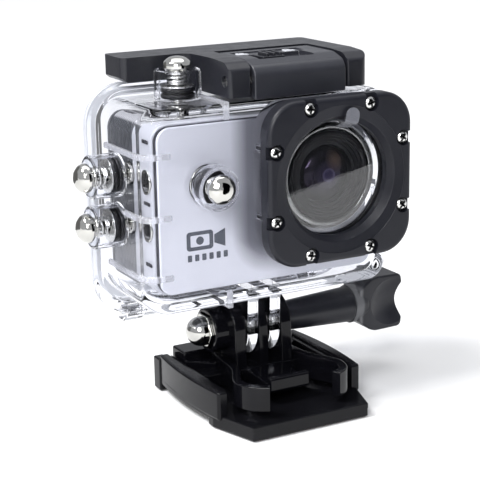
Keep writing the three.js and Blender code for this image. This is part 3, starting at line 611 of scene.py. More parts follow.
SATIN = moulded("satin_black", (0.010, 0.0105, 0.0145), (0.014, 0.0145, 0.0195), (0.30, 0.42), specular=0.4)
# painted light: a lighter copy of the satin black, for the light that the latch block's faces catch
LIT_BLOCK = moulded("lit_block_black", (0.020, 0.021, 0.027), (0.026, 0.027, 0.035), (0.30, 0.42), specular=0.5)
BEZEL = moulded("bezel_black", (0.007, 0.0075, 0.0115), (0.0105, 0.011, 0.016), (0.34, 0.46), 6400, 0.1, 0.3)
BASE = moulded("base_black", (0.0035, 0.0035, 0.0045), (0.005, 0.005, 0.0065), (0.18, 0.26),
               4200, 0.012, 0.19)
GLOSS = moulded("gloss_black", (0.002, 0.002, 0.003), (0.004, 0.004, 0.0055), (0.06, 0.12), 900, 0.03, 0.2)
RUBBER = moulded("seal_rubber", (0.003, 0.003, 0.004), (0.006, 0.006, 0.0075), (0.32, 0.5), 3000, 0.05, 0.2)
GASKET = moulded("pale_silicone", (0.55, 0.56, 0.58), (0.68, 0.69, 0.71), (0.4, 0.55), 2500, 0.1)
BARREL = moulded("lens_black", (0.003, 0.003, 0.004), (0.006, 0.006, 0.007), (0.34, 0.5), 5000, 0.02, 0.14)
PRINT = moulded("grey_print", (0.055, 0.063, 0.082), (0.07, 0.078, 0.098), (0.4, 0.5), 3000, 0.06)
PALE = moulded("pale_silver", (0.45, 0.457, 0.50), (0.52, 0.527, 0.57), (0.32, 0.42), 6000, 0.05)
# painted shade: near black for the gap behind the panel and inside the slots, also used for the collar round
# the shutter key
SHADE_BLACK = moulded("painted_shade_black", (0.010, 0.010, 0.016), (0.016, 0.016, 0.024), (0.35, 0.5), 4000, 0.1, 0.3)
SIGN = moulded("sign_grey", (0.50, 0.51, 0.55), (0.60, 0.61, 0.65), (0.4, 0.5), 4000, 0.05)
GREY = moulded("camera_grey", (0.07, 0.073, 0.082), (0.10, 0.104, 0.115), (0.4, 0.52), 4000, 0.14)
CHROME = metal("chrome", (0.50, 0.495, 0.47), (0.60, 0.595, 0.565), (0.03, 0.09), 0.02)
TRIM = metal("lens_trim", (0.20, 0.20, 0.205), (0.27, 0.27, 0.275), (0.10, 0.18), 0.03)
STEEL = metal("steel", (0.52, 0.52, 0.52), (0.68, 0.68, 0.67), (0.2, 0.32), 0.08, (8, 1, 8))
WIRE = metal("spring_wire", (0.42, 0.42, 0.42), (0.60, 0.60, 0.59), (0.18, 0.3), 0.06)
CASE = clear("clear_case", (0.93, 0.935, 0.96), (0.01, 0.04), 1.17, 0.04, (0.95, 0.955, 0.97))
RIB = clear("clear_rib", (0.86, 0.865, 0.90), (0.05, 0.12), 1.17, 0.05, (0.95, 0.955, 0.97), 0.12)
GLASS = clear("window_glass", (0.97, 0.98, 0.985), (0.0, 0.02), 1.5, 0.01, (0.96, 0.97, 0.975))
SCREW, KNOB, SILVER, RIDGED = screw_steel(), knob_plastic(), silver_paint(), ridged_grey()
FILM, COATED, FOAM, BOARD = film(), lens_coating(), foam_pad(), circuit_board()
WRAP, DISPLAY = battery_wrap(), display_glass()


# ---- clear housing
HALF, FRONT, TOP, BOTTOM = 33.7, -2.97, 45.0, -3.48
SIDE_FILLET, TOP_FILLET, CORNER = 4.5, 1.6, 5
FLANGE_FRONT, FLANGE_BACK = 21.8, 25.2
CAVITY_HALF, CAVITY_LOW, CAVITY_HIGH = 31.5, -1.4, 43
HINGE_Y, HINGE_Z = 29.5, -10.8
LATCH_Y, LATCH_Z = 0.5, 49.7
PIVOT_BORE = 2.65
BEZEL_CUT = 13
RIB_LEVELS, RIB_RISE, RIB_ROOT, RIB_HIGH = (5.7, 20, 34.5), 0.7, 1.2, 1.4

# high: the turret's height, dome: the key's crown above it, reach: the pin inside, seal: the seal's height
BUTTONS = {
    "shutter": dict(out=UP, high=6.9, radius=5.6, dome=3.1, reach=2.7, seal=3.1),
    "power": dict(out=AHEAD, high=5.0, radius=5.3, dome=3.2, reach=2.15, seal=1.5),
    "up": dict(out=LEFT, high=7.4, radius=5.2, dome=3.6, reach=2.8, seal=3.1),
    "down": dict(out=LEFT, high=7.4, radius=5.2, dome=3.6, reach=2.8, seal=3.1),
}
for name, b in BUTTONS.items():
    low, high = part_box(name + "_plunger")
    centre = ((low + high) / 2 - CAMERA) / MM
    root = {"shutter": (centre.x, centre.y, TOP), "power": (centre.x, FRONT, centre.z)}
    b["at"] = root.get(name, (-HALF, centre.y, centre.z))


def case_block(half, bottom, top, front, back, side_fillet, top_fillet, corner):
    """A box whose front edges are rounded: by one radius at the sides, another above and below."""
    arc = 12
    depths = [side_fillet * (1 - cos(pi / 2 * k / arc)) for k in range(arc + 1)]
    depths += [part * top_fillet for part in (0.0, 0.25, 0.5, 1.0)]
    sections = []
    for depth in [*sorted(set(round(d, 4) for d in depths)), back - front]:
        s = max(0.0, side_fillet - depth)
        t = max(0.0, top_fillet - depth)
        pull_in = side_fillet - sqrt(side_fillet ** 2 - s ** 2)
        pull_down = top_fillet - sqrt(top_fillet ** 2 - t ** 2)
        ring = middle_outline(half - pull_in, bottom + pull_down, top - pull_down, corner - 0.3 * pull_in, 10)
        sections.append([(u, front + depth, v) for u, v in ring])
    return loft(sections)


def eye(y, z, radius, spread, root_z):
    """A round eye on a neck that widens to a straight root, as (y, z) points."""
    steps = 40
    away = -1 if root_z > z else 1
    points = [(y + spread, root_z)]
    for k in range(steps + 1):
        angle = pi * k / steps
        points.append((y + radius * cos(angle), z + away * radius * sin(angle)))
    points.append((y - spread, root_z))
    return points


def pin_bore(y, z):
    return rod(1.4, -40, 40, (0, y, z), RIGHT, segments=32)


def hinge_ear():
    y, z, half = HINGE_Y, HINGE_Z, 2.6
    outline = rounded([
        (22.3, -8.0), (22.3, -9.3, 0.3), (y - 2.0, z - half, 1.5), (y + half, z - half, 2.5),
        (y + half, z + half, 2.5), (y - 2.2, z + half, 1.0), (FLANGE_BACK, -8.0),
    ])
    return prism("x", outline, 22.0, 27.2, 0.3)


def turret(b):
    radius = b["radius"]
    profile = [(0, -1), (radius + 0.15, -1), (radius + 0.1, 0.3), (radius, b["high"], 0.45), (0, b["high"])]
    return lathe(profile, b["at"], b["out"])


def turret_bore(b):
    shaft, seal, mouth, rim = 1.45, 4.3, 4.6, b["high"]
    profile = [
        (0, -4), (shaft, -4), (shaft, 0), (seal, 0), (seal, rim - 0.4), (mouth, rim + 1), (0, rim + 1),
    ]
    return lathe(profile, b["at"], b["out"])


def screw_places():
    reach, offset = 17.5, 8.31
    places = []
    for side in (-1, 1):
        for shift in (-1, 1):
            places.append((LX + shift * offset, LZ + side * reach))
            places.append((LX + side * reach, LZ + shift * offset))
    return places


def clear_housing():
    body = case_block(HALF, BOTTOM, TOP, FRONT, FLANGE_FRONT + 1, SIDE_FILLET, TOP_FILLET, CORNER)
    port = prism("y", port_outline(18.9, 7.5), -8.07, -1.9, 0.3)
    flange = prism("y", middle_outline(36.8, -9.5, 48.2, 10, 16), FLANGE_FRONT, FLANGE_BACK, 0.7, 4)
    step = prism("y", middle_outline(34.9, -6.5, 46.6, 8, 16), FLANGE_FRONT - 0.8, FLANGE_FRONT + 1, 0.5)
    ear = hinge_ear()
    pivot_y, pivot_z = PY - CAMERA.y / MM, PZ - CAMERA.z / MM
    prong = eye(pivot_y, pivot_z, 7.5, 8.2, BOTTOM + 1)
    prongs = [prism("x", prong, middle - 1.5, middle + 1.5, 0.35) for middle in (-3.1, 3.1)]
    turrets = [turret(b) for b in BUTTONS.values()]
    joined(body, port, flange, step, ear, mirrored(ear), *prongs, *turrets)
    cavity = case_block(CAVITY_HALF, CAVITY_LOW, CAVITY_HIGH, FRONT + 2, FLANGE_BACK + 1, 4.2, 1.0, 3.6)
    lens_hole = lathe([(0, 0), (13.9, 0), (13.9, 5.1), (16.3, 5.1), (16.3, 12), (0, 12)], AXIS, AHEAD, 128)
    screw_holes = [rod(0.85, 3.3, 12, (x, 0, z), AHEAD, segments=24) for x, z in screw_places()]
    bores = [turret_bore(b) for b in BUTTONS.values()]
    pivot_bore = rod(PIVOT_BORE, -20, 20, (0, pivot_y, pivot_z), RIGHT)
    return cut(body, cavity, lens_hole, *screw_holes, *bores, pivot_bore, pin_bore(HINGE_Y, HINGE_Z))


def wrap_rib(level):
    """A rib from the front round the right side, most of the way to the flange."""
    out, front, inside, start, stop = HALF + RIB_RISE, FRONT - RIB_RISE, HALF - RIB_ROOT, 27.0, 18.5
    plan = rounded([
        (start, front, 0.5), (out, front, SIDE_FILLET + RIB_RISE), (out, stop, 0.4), (inside, stop),
        (inside, FRONT + RIB_ROOT, 3.2), (start, FRONT + RIB_ROOT),
    ], 12)
    return prism("z", plan, level - RIB_HIGH / 2, level + RIB_HIGH / 2, 0.3)


def ribs():
    parts = []
    for level in RIB_LEVELS:
        right = wrap_rib(level)
        parts += [right, mirrored(right)]
    for low, high in ((41.5, TOP + RIB_RISE), (BOTTOM - 0.5, 0.5)):
        parts.append(block(-13.2, FRONT - RIB_RISE, low, -11.8, 21.7, high, 0.25))
    inner = case_block(HALF, BOTTOM, TOP, FRONT, FLANGE_BACK, SIDE_FILLET, TOP_FILLET, CORNER)
    return cut(group(*parts), inner)


piece(clear_housing(), "clear_housing", "clear_case", CASE, "housing_shell")
piece(ribs(), "housing_ribs", "clear_case", RIB)


# ---- lens port
def screw_notch(x, z):
    """The slot from a screw's well to the nearest edge of the bezel."""
    length, half, floor = 3, 1.5, -10.75
    dx, dz = x - LX, z - LZ
    if abs(dx) > abs(dz):
        x0, x1 = sorted((x, x + copysign(length, dx)))
        return block(x0, -BEZEL_CUT, z - half, x1, floor, z + half)
    z0, z1 = sorted((z, z + copysign(length, dz)))
    return block(x - half, -BEZEL_CUT, z0, x + half, floor, z1)


def bezel():
    plate = prism("y", port_outline(19.8, 8, 14), -12.3, -8.37, 1.1, 6, ends=(True, False))
    opening = lathe([
        (0, 8), (14, 8), (14, 10), (15.2, 11.75, 0.3), (17.8, 12.08, 0.2), (17.95, BEZEL_CUT), (0, BEZEL_CUT),
    ], AXIS, AHEAD, 160)
    well = [(0, 8), (0.85, 8), (0.85, 10.75), (1.95, 10.75), (1.95, BEZEL_CUT), (0, BEZEL_CUT)]
    wells = []
    for x, z in screw_places():
        wells += [lathe(well, (x, 0, z), AHEAD, 32), screw_notch(x, z)]
    return softened(cut(plate, opening, *wells), 0.12, 2, 40)


def cross_screw(x, z, turn):
    screw = lathe([
        (0, 3.6), (0.65, 3.6), (0.65, 10.95), (1.5, 10.95, 0.15), (1.5, 11.6, 0.35), (0.9, 12.05, 0.5),
        (0, 12.15),
    ], (x, 0, z), AHEAD, 48)
    arm_half, arm_thick, floor = 1.05, 0.27, -11.2
    arms = []
    for quarter in (0, pi / 2):
        arm = block(-arm_half, -BEZEL_CUT, -arm_thick, arm_half, floor, arm_thick)
        spin = Matrix.Rotation(turn + quarter, 4, "Y")
        arms.append(moved(arm, Matrix.Translation((x, 0, z)) @ spin))
    return cut(screw, *arms)


def film_sheet():
    """A disc on the window, with a tab that bends up over the bezel and ends in a half round."""
    disc = rod(12.8, 8.45, 8.7, (0, 0, 0), AHEAD, 0.05, 96)
    bend = [(-8.58, 11.6), (-8.75, 12.1), (-10.2, 12.8), (-12.2, 13.4), (-12.66, 14.0), (-12.7, 15.6)]
    half, thick, end, arc = 1.85, 0.06, 17.3, 8
    tab_y, straight = bend[-1]
    sections = [(y, z, half) for y, z in bend]
    for k in range(1, arc + 1):
        angle = pi / 2 * k / arc
        sections.append((
            tab_y, straight + (end - straight) * sin(angle), max(0.1, half * cos(angle)),
        ))
    rings = [
        [(-width, y - thick, z), (width, y - thick, z), (width, y + thick, z), (-width, y + thick, z)]
        for y, z, width in sections
    ]
    spin = Matrix.Rotation(radians(10), 4, "Y")
    return moved(group(disc, loft(rings)), Matrix.Translation((LX, 0, LZ)) @ spin)


piece(rod(16, 6.2, 8.1, AXIS, AHEAD, 0.25, 128), "port_window", "window_glass", GLASS, "lens_window")
piece(lathe([(14.1, 5.2, 0.3), (15.9, 5.2, 0.3), (15.9, 6.1, 0.3), (14.1, 6.1, 0.3)], AXIS, AHEAD, 128),
      "port_gasket", "rubber", RUBBER, "lens_gasket")
piece(bezel(), "port_bezel", "bezel_black", BEZEL, "lens_bezel")
SCREW_TURNS = (0.2, 0.9, 0.45, 1.2, 0.1, 0.7, 1.35, 0.55)
for number, (place, turn) in enumerate(zip(screw_places(), SCREW_TURNS), 1):
    piece(cross_screw(*place, turn), f"cross_screw_{number}", "steel", SCREW, f"bezel_screw_{number}")
piece(film_sheet(), "lens_film", "film", FILM, "protective_film")

# ---- push buttons
SHAFT, SEAL, GROOVE = 1.6, 4.1, 3.4


def wound_spring(at, out, start, stop):
    """A wire wound round the shaft, with closed turns at both ends."""
    coils, closed, wire, radius = 3.6, 0.6, 0.3, 2.12
    turn = Vector(out).to_track_quat("Z", "Y").to_matrix()
    path = []
    count = int(coils * 24)
    for k in range(count + 1):
        t = k / count
        angle = 2 * pi * coils * t
        ease = min(1.0, max(0.0, (t * coils - closed) / (coils - 2 * closed)))
        height = start + wire + (stop - start - 2 * wire) * ease
        path.append(Vector(at) + turn @ Vector((radius * cos(angle), radius * sin(angle), height)))
    return sweep(path, wire, 10)


def plunger(b):
    high, dome = b["high"], b["dome"]
    return lathe([
        (0, -b["reach"]), (1.15, -b["reach"], 0.2), (1.15, high - 0.5, 0.2), (2.9, high - 0.2, 0.2),
        (3.5, high + 0.4, 0.3), (3.5, high + 1.15, 0.5), (3.15, high + 0.62 * dome, 1.2),
        (2.0, high + 0.9 * dome, 2.0), (0.9, high + 0.99 * dome, 2.0), (0, high + dome),
    ], b["at"], b["out"], 96, 6)


for name, b in BUTTONS.items():
    at, out, seal_high = b["at"], b["out"], b["seal"]
    piece(plunger(b), name + "_push", "chrome", CHROME, name + "_plunger", body=name + "_plunger")
    double = seal_high > 2
    rings = [(SHAFT, 0.15), (SEAL, 0.15, 0.5), (SEAL, 1.25 if double else seal_high, 0.5)]
    if double:
        rings += [(GROOVE, 1.32), (GROOVE, 1.58), (SEAL, 1.65, 0.5), (SEAL, 2.75, 0.5)]
    seal = lathe([*rings, (SHAFT, rings[-1][1])], at, out, 96, 6)
    piece(seal, name + "_seal", "rubber", RUBBER, name + "_o_ring")
    if double:
        low, wide = 2.8, SEAL - 0.05
        washer = [(SHAFT, low, 0.05), (wide, low, 0.1), (wide, seal_high, 0.1), (SHAFT, seal_high, 0.05)]
        piece(lathe(washer, at, out, 96, 4), name + "_washer", "steel", STEEL)
    start, stop = seal_high + 0.3, b["high"] - 0.6
    spring = piece(wound_spring(at, out, start, stop), name + "_wound_spring", "spring_steel", WIRE,
                   name + "_spring")
    anchor = CAMERA + (Vector(at) + Vector(out) * start) * MM
    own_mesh(spring)
    tuple(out)

# ---- rear door
DOOR_FRONT, DOOR_BACK = 25.6, 31.2


def door():
    plate = prism("y", middle_outline(36.2, -7.4, 48, 9.5, 16), DOOR_FRONT, DOOR_BACK, 0.8, 4)
    hollow = middle_outline(CAVITY_HALF, CAVITY_LOW, CAVITY_HIGH, 3)
    pocket = prism("y", hollow, DOOR_FRONT - 1, DOOR_BACK - 1.6, 0.4)
    knuckle_half = 21.6
    knuckle = rod(2.6, -knuckle_half, knuckle_half, (0, HINGE_Y, HINGE_Z), RIGHT, 0.3, 48)
    web = block(-knuckle_half, 27.9, HINGE_Z, knuckle_half, DOOR_BACK - 0.1, -6.4, 0.2)
    groove_floor = 27.0
    outer = prism("y", middle_outline(35.2, -6.4, 47, 8.3, 12), DOOR_FRONT - 1, groove_floor)
    inner = prism("y", middle_outline(33.0, -4.2, 44.8, 6.7, 12), DOOR_FRONT - 2, groove_floor + 1)
    return cut(joined(plate, knuckle, web), pocket, cut(outer, inner), pin_bore(HINGE_Y, HINGE_Z))


def door_seal():
    ring = prism("y", middle_outline(34.9, -6.1, 46.7, 8, 12), 25.35, 26.7, 0.3)
    return cut(ring, prism("y", middle_outline(33.3, -4.5, 45.1, 7, 12), 24, 28))


piece(door(), "clear_door", "clear_case", CASE, "rear_door", body="rear_door")
piece(door_seal(), "door_seal", "gasket_grey", GASKET, "door_gasket", body="rear_door")


# ---- top latch
def lever():
    front, top, arm_bottom = -2.0, 54.49, 46.0
    bar_front, bar_back, bar_bottom, bar_right = 18.9, 30.0, 48.6, 27.2
    slot_left, slot_right, slot_back = -5.0, 21.4, 17.5
    plan = rounded([
        (-10.8, front, 1.0), (slot_left, front, 0.8), (slot_left, slot_back, 0.8),
        (slot_right, slot_back, 0.8), (slot_right, front, 0.8), (bar_right, front, 2.0),
        (bar_right, bar_front + 2), (-16.6, bar_front + 2), (-16.6, bar_front, 0.2),
        (-11.2, bar_front - 0.1, 3.5), (-10.8, 12.0, 3.0),
    ], 10)
    arms = prism("z", plan, arm_bottom, top + 2)
    bar = prism("z", box_outline(-28.6, bar_front, bar_right, bar_back, 1.5), bar_bottom, top + 2)
    side = rounded([
        (front, arm_bottom - 1), (32, arm_bottom - 1), (32, top), (6, top, 2.0), (0.4, top - 0.4, 3.0),
        (front, 52.4, 1.5),
    ], 6)
    cover = prism("x", side, -40, 40)
    under = block(-40, 21.0, 40, 40, 40, bar_bottom)
    chamfer = [(-29.6, bar_bottom + 1.8), (-26.4, bar_bottom - 0.5), (-29.6, bar_bottom - 0.5)]
    left = prism("y", chamfer, 10, 40)
    shape = cut(common(joined(arms, bar), cover), under, left, pin_bore(LATCH_Y, LATCH_Z))
    return softened(shape, 0.4, 3, 40)


def hinge_block():
    front, bottom = -2.35, 45.3
    profile = rounded([
        (16, bottom), (16, 54.3, 0.4), (3, 54.2, 6.0), (front, 52.6, 3.2), (front, bottom),
    ], 8)
    body = prism("x", profile, -4.3, 20.7, 0.5, 4)
    recess = block(-0.6, 2.2, 52.9, 14.6, 9.4, 56, 0.3)
    step = block(-2.6, 9.4, 54.0, 16.0, 13.4, 56)
    return softened(cut(body, recess, step, pin_bore(LATCH_Y, LATCH_Z)), 0.15, 2, 50)


def lock_slider():
    pitch, width = 1.8, 0.8
    plate = block(1.2, 3.4, 53.1, 7.2, 9.0, 54.2, 0.2)
    starts = [2.4 + pitch * k for k in range(3)]
    return joined(plate, *[block(x, 4.0, 53.9, x + width, 8.4, 54.9, 0.2) for x in starts])


def padlock(x, opened):
    """A padlock sign that lies flat behind the slider's recess: a body and a bow over it."""
    low, high = 54.02, 54.2
    body = prism("z", box_outline(x - 1.5, 9.8, x + 1.5, 11.4, 0.3), low, high)
    bow = prism("z", box_outline(x - 1.1, 11.0, x + 1.1, 12.9, 0.9), low, high)
    tools = [prism("z", box_outline(x - 0.6, 10.5, x + 0.6, 12.4, 0.5), low - 1, high + 1)]
    if opened:
        tools.append(block(x + 0.4, 11.4, low - 1, x + 1.4, 12.0, high + 1))
    return joined(cut(bow, *tools), body)


piece(lever(), "latch_arms", "latch_black", SATIN, "latch_lever", body="latch_lever")
piece(hinge_block(), "latch_block", "latch_black", LIT_BLOCK, "latch_hinge_block")
piece(lock_slider(), "latch_slider", "latch_black", SATIN, "latch_lock", body="latch_lock")
piece(group(padlock(-0.6, False), padlock(12.4, True)), "latch_print", "latch_black", SIGN)

# ---- camera
BODY_HALF, BODY_TOP, BODY_CORNER, WALL = 29.65, 41.1, 3.8, 1.6
HATCH = (-26, 7, 4, 20)
OVAL_LEVELS, SLOT_LEVELS = (27.4, 16.0), (37.0, 22.3, 7.5)


def camera_outline(inset, radius=BODY_CORNER):
    return middle_outline(BODY_HALF - inset, inset, BODY_TOP - inset, radius, 10)


def key_rod(name, radius, depth, bevel=0):
    """A rod along a button's axis, from just below its plunger's tip and `depth` inwards."""
    b = BUTTONS[name]
    top = -b["reach"] - 0.3
    return rod(radius, top - depth, top, b["at"], b["out"], bevel, 64)


def hollowed(wall):
    """A camera wall without its inside, the holes of its keys and the battery hatch."""
    inside = prism("y", camera_outline(WALL, 2.2), 1, 24)
    holes = [key_rod(name, 2.9, 4.4) for name in ("shutter", "up", "down")]
    x0, y0, x1, y1 = HATCH
    return cut(wall, inside, *holes, block(x0, y0, -1, x1, y1, 3))


def camera_sleeve():
    """The rear two thirds of the camera's wall, with fine ridges round it."""
    pitch, flat, groove, lip = 0.94, 0.46, 0.24, 0.1
    stations = [(10.5, 0.25), (10.7, 0.06)]
    y = 10.9
    while y < 22.4:
        stations += [(y, 0.0), (y + flat, 0.0), (y + flat + lip, groove), (y + pitch - lip, groove)]
        y += pitch
    stations += [(22.8, 0.0), (23.0, 0.2)]
    return hollowed(loft([[(u, y, v) for u, v in camera_outline(inset)] for y, inset in stations]))


def front_shell():
    """The pale front third of the camera's wall."""
    return hollowed(prism("y", camera_outline(0), 2.0, 10.3, 0.5, 4))


def panel_holes():
    x, _, z = BUTTONS["power"]["at"]
    return [rod(11.1, -2, 3, AXIS, AHEAD, segments=128), rod(2.9, -3, 3, (x, 0, z), AHEAD, segments=64)]


def panel():
    return cut(prism("y", camera_outline(0.55, 3.25), 0, 0.45, 0.35, 4, ends=(True, False)), *panel_holes())


# Painted shade: a dark plate behind the silver panel, seen as a dark band where the panel stands proud of the
# shell.
def painted_gap_shade():
    return cut(prism("y", camera_outline(0.5, 3.3), 0.45, 1.85, 0.05), *panel_holes())


def pictogram():
    """A generic camera sign over a row of short bars, printed on the panel."""
    y0, y1 = -0.05, 0.2
    frame_out = prism("y", box_outline(-22.2, 10.6, -15.2, 15.2, 0.8), y0, y1)
    frame_in = prism("y", box_outline(-21.2, 11.5, -16.2, 14.3, 0.3), y0 - 1, y1 + 1)
    dot = rod(1.0, -y1, -y0, (-18.7, 0, 12.9), AHEAD, segments=48)
    horn = prism("y", [(-14.9, 11.9), (-12.0, 10.7), (-12.0, 15.1), (-14.9, 13.9)], y0, y1)
    starts = [-22.0 + 1.9 * k for k in range(6)]
    bars = [prism("y", box_outline(x, 8.0, x + 1.1, 9.6, 0.2), y0, y1) for x in starts]
    return group(cut(frame_out, frame_in), dot, horn, *bars)


def back_cover():
    plate = prism("y", camera_outline(0), 23.3, 24.8, 0.6, 4, ends=(False, True))
    return cut(plate, prism("y", middle_outline(21, 5, 36, 0.8), 23, 26))


def oval(y, z, half_y, half_z):
    return [(y + half_y * cos(a), z + half_z * sin(a)) for a in ring_of(36)]


def side_rims():
    """Chrome rims of the two dark ovals on the left side, near the front edge."""
    rims = []
    for z in OVAL_LEVELS:
        rim = prism("x", oval(4.9, z, 2.7, 3.0), -30.0, -29.4, 0.15)
        rims.append(cut(rim, prism("x", oval(4.9, z, 2.2, 2.45), -31, -29.75)))
    return group(*rims)


def side_lenses():
    return group(*[prism("x", oval(4.8, z, 2.0, 2.25), -30.05, -29.7, 0.1) for z in OVAL_LEVELS])


def side_slots():
    """Narrow openings in the pale side wall, between and beyond the two ovals, drawn as dark plates that
    paint the shade inside them.
    """
    outlines = [box_outline(3.0, z - 0.4, 6.5, z + 0.4, 0.35) for z in SLOT_LEVELS]
    return group(*[prism("x", outline, -29.85, -29.5) for outline in outlines])


def top_vents():
    """Sound slots behind the shutter key, drawn as dark plates that paint the shade inside them, and a dark
    collar round the key.
    """
    low, high = BODY_TOP - 0.1, BODY_TOP + 0.1
    starts = (-26.4, -24.2, -22.0, -19.8, -15.4, -13.2)
    slots = [block(x, 16.8, low, x + 1.2, 21.6, high, 0.05) for x in starts]
    x, y, _ = BUTTONS["shutter"]["at"]
    collar = lathe([(2.95, low), (4.3, low), (4.3, high, 0.05), (2.95, high, 0.05)], (x, y, 0), UP, 64)
    return group(*slots, collar)


piece(camera_sleeve(), "camera_sleeve", "camera_grey", RIDGED, "camera_body")
piece(front_shell(), "camera_front_shell", "silver_panel", PALE)
piece(side_slots(), "side_slots", "screen_black", SHADE_BLACK)
piece(top_vents(), "top_vents", "screen_black", SHADE_BLACK)
piece(panel(), "camera_front", "silver_panel", SILVER, "front_panel")
# painted shade: the dark plate behind the panel
piece(painted_gap_shade(), "painted_gap_shade", "screen_black", SHADE_BLACK)
piece(pictogram(), "panel_print", "camera_grey", PRINT)
piece(back_cover(), "camera_rear", "camera_grey", GREY, "camera_back")
piece(side_rims(), "side_rims", "chrome", CHROME)
piece(side_lenses(), "side_lenses", "screen_black", DISPLAY)
piece(block(-20.7, 23.5, 5.3, 20.7, 24.6, 35.7, 0.2), "rear_screen", "screen_black", DISPLAY, "screen_panel")
for name in BUTTONS:
    key = f"camera_{name}_button"
    piece(key_rod(name, 2.6, 2.2, 0.4), name + "_key", "chrome", CHROME, key, body=key)
x0, y0, x1, y1 = HATCH
piece(block(x0 + 0.3, y0 + 0.3, 0.1, x1 - 0.3, y1 - 0.3, WALL, 0.3), "battery_cover", "camera_grey", GREY,
      "battery_hatch")

# ---- camera lens
TRIM_PROFILE = [
    (11.2, 0.3), (13.3, 0.3, 0.2), (13.3, 4.6, 0.5), (12.5, 5.6, 0.5), (11.4, 5.6, 0.3), (11.2, 5.0),
]
RING_PROFILE = [
    (7.3, -1.6), (10.8, -1.6), (10.8, 5.4, 0.3), (10.2, 5.9, 0.2), (9.6, 5.6), (9.5, 5.2), (8.9, 5.1),
    (8.8, 4.7), (8.1, 4.6), (8.0, 4.2), (7.3, 4.1),
]
GLASS_PROFILE = [
    (0, -0.2), (6.9, -0.2), (6.9, 2.6, 0.3), (5.9, 3.9, 3), (4.4, 4.8, 4), (2.4, 5.4, 5), (0.8, 5.58, 5),
    (0, 5.6),
]
piece(lathe(TRIM_PROFILE, AXIS, AHEAD, 160), "trim_ring", "chrome", TRIM, "lens_trim_ring")
piece(lathe(RING_PROFILE, AXIS, AHEAD, 160), "front_ring", "lens_black", BARREL, "lens_ring")
piece(lathe(GLASS_PROFILE, AXIS, AHEAD, 128, 6), "front_element", "lens_glass", COATED, "lens_element")

# ---- mount: adhesive base
FOOT, WAIST, RAIL_END = 19.8, 16.8, 18.7


def both_sides(half):
    """One side of an outline, followed by its mirror image."""
    return half + [(-x, *rest) for x, *rest in reversed(half)]


def foot_outline(inset):
    """The base's rim, waisted where the rails stand."""
    wide, narrow, front = FOOT - inset, WAIST - inset, -8.0 - inset
    right = [
        (15.8 - inset, inset - 23.5, 0.5), (wide, -10.5, 0.5), (wide, front, 0.3), (narrow, front, 0.3),
        (narrow, 18.5 + inset, 0.3), (wide, 18.5 + inset, 0.3), (wide, 21.0, 0.5),
        (narrow, 23.5 - inset, 0.5),
    ]
    return rounded(both_sides(right), 3)


def bowed(start):
    """The outer line of a rail, which bows out by 1.2 mm between its ends."""
    bow, steps = 1.2, 24
    points = []
    for k in range(steps + 1):
        t = k / steps
        points.append((FOOT + 4 * bow * t * (1 - t), start + (RAIL_END - start) * t))
    return points


def rail(side):
    """A side wall with a rounded front corner, the lip inside its top and the post at its back."""
    wall_in, lip_in, wall_start, lip_start = 17.5, 16.3, -13.5, -10.3
    (corner_x, corner_y), *line = bowed(wall_start)
    wall = [(wall_in, wall_start), (corner_x, corner_y, 1.0), *line, (wall_in, RAIL_END)]
    lip = [(lip_in, lip_start), *[(x - 0.6, y) for x, y in bowed(lip_start)], (lip_in, RAIL_END)]
    wall, lip = [[(side * x, *rest) for x, *rest in outline] for outline in (wall, lip)]
    x0, x1 = sorted((side * wall_in, side * 20.2))
    return [
        prism("z", rounded(wall), 2.7, 10.0, 0.8, 5), prism("z", lip, 8.0, 9.2, 0.4),
        block(x0, 18.2, 0.35, x1, 21.9, 8.8, 0.4),
    ]


def base():
    right = [(15.8, -23.5), *bowed(-10.5), (FOOT, 21.0), (WAIST, 23.5)]
    deck = prism("z", both_sides(right), 2.2, 3.8, 0.3)
    body = prism("z", foot_outline(0), 0.35, 3.8, 0.3)
    recess = prism("z", foot_outline(1.0), -1, 1.2)
    return softened(cut(joined(body, deck, *rail(1), *rail(-1)), recess), 0.3, 3, 40)


piece(prism("z", foot_outline(1.3), 0, 0.9, 0.12), "foam_pad", "red_liner", FOAM, "adhesive_pad",
      body="base", origin=MOUNT)
piece(base(), "mount_base", "base_black", BASE, "adhesive_base", body="base", origin=MOUNT)


# ---- mount: buckle
def smooth_path(points, steps):
    """A curve through the points, by Catmull-Rom spans."""
    path = []
    padded = [points[0], *points, points[-1]]
    for i in range(1, len(padded) - 2):
        p0, p1, p2, p3 = (Vector(p) for p in padded[i - 1:i + 3])
        for k in range(steps):
            t = k / steps
            path.append(0.5 * (2 * p1 + (p2 - p0) * t + (2 * p0 - 5 * p1 + 4 * p2 - p3) * t ** 2
                               + (3 * p1 - p0 - 3 * p2 + p3) * t ** 3))
    path.append(Vector(points[-1]))
    return path


def spring_arm(side):
    half_thick = 1.1
    route = [(8.8, 9), (9.4, 1), (10.4, -5), (13.0, -10), (13.9, -13.5), (12.4, -17.5), (9.2, -19.6)]
    path = smooth_path(route, 6)
    near, far = [], []
    for i, here in enumerate(path):
        along = (path[min(i + 1, len(path) - 1)] - path[max(i - 1, 0)]).normalized()
        normal = Vector((-along.y, along.x)) * half_thick
        near.append(here + normal)
        far.append(here - normal)
    return prism("z", [(side * p.x, p.y) for p in near + far[::-1]], 5.4, 11.7, 0.4)


def finger(start, stop):
    return prism("x", eye(PY, PZ, 7.4, 8, 6.1), start, stop, 0.35)


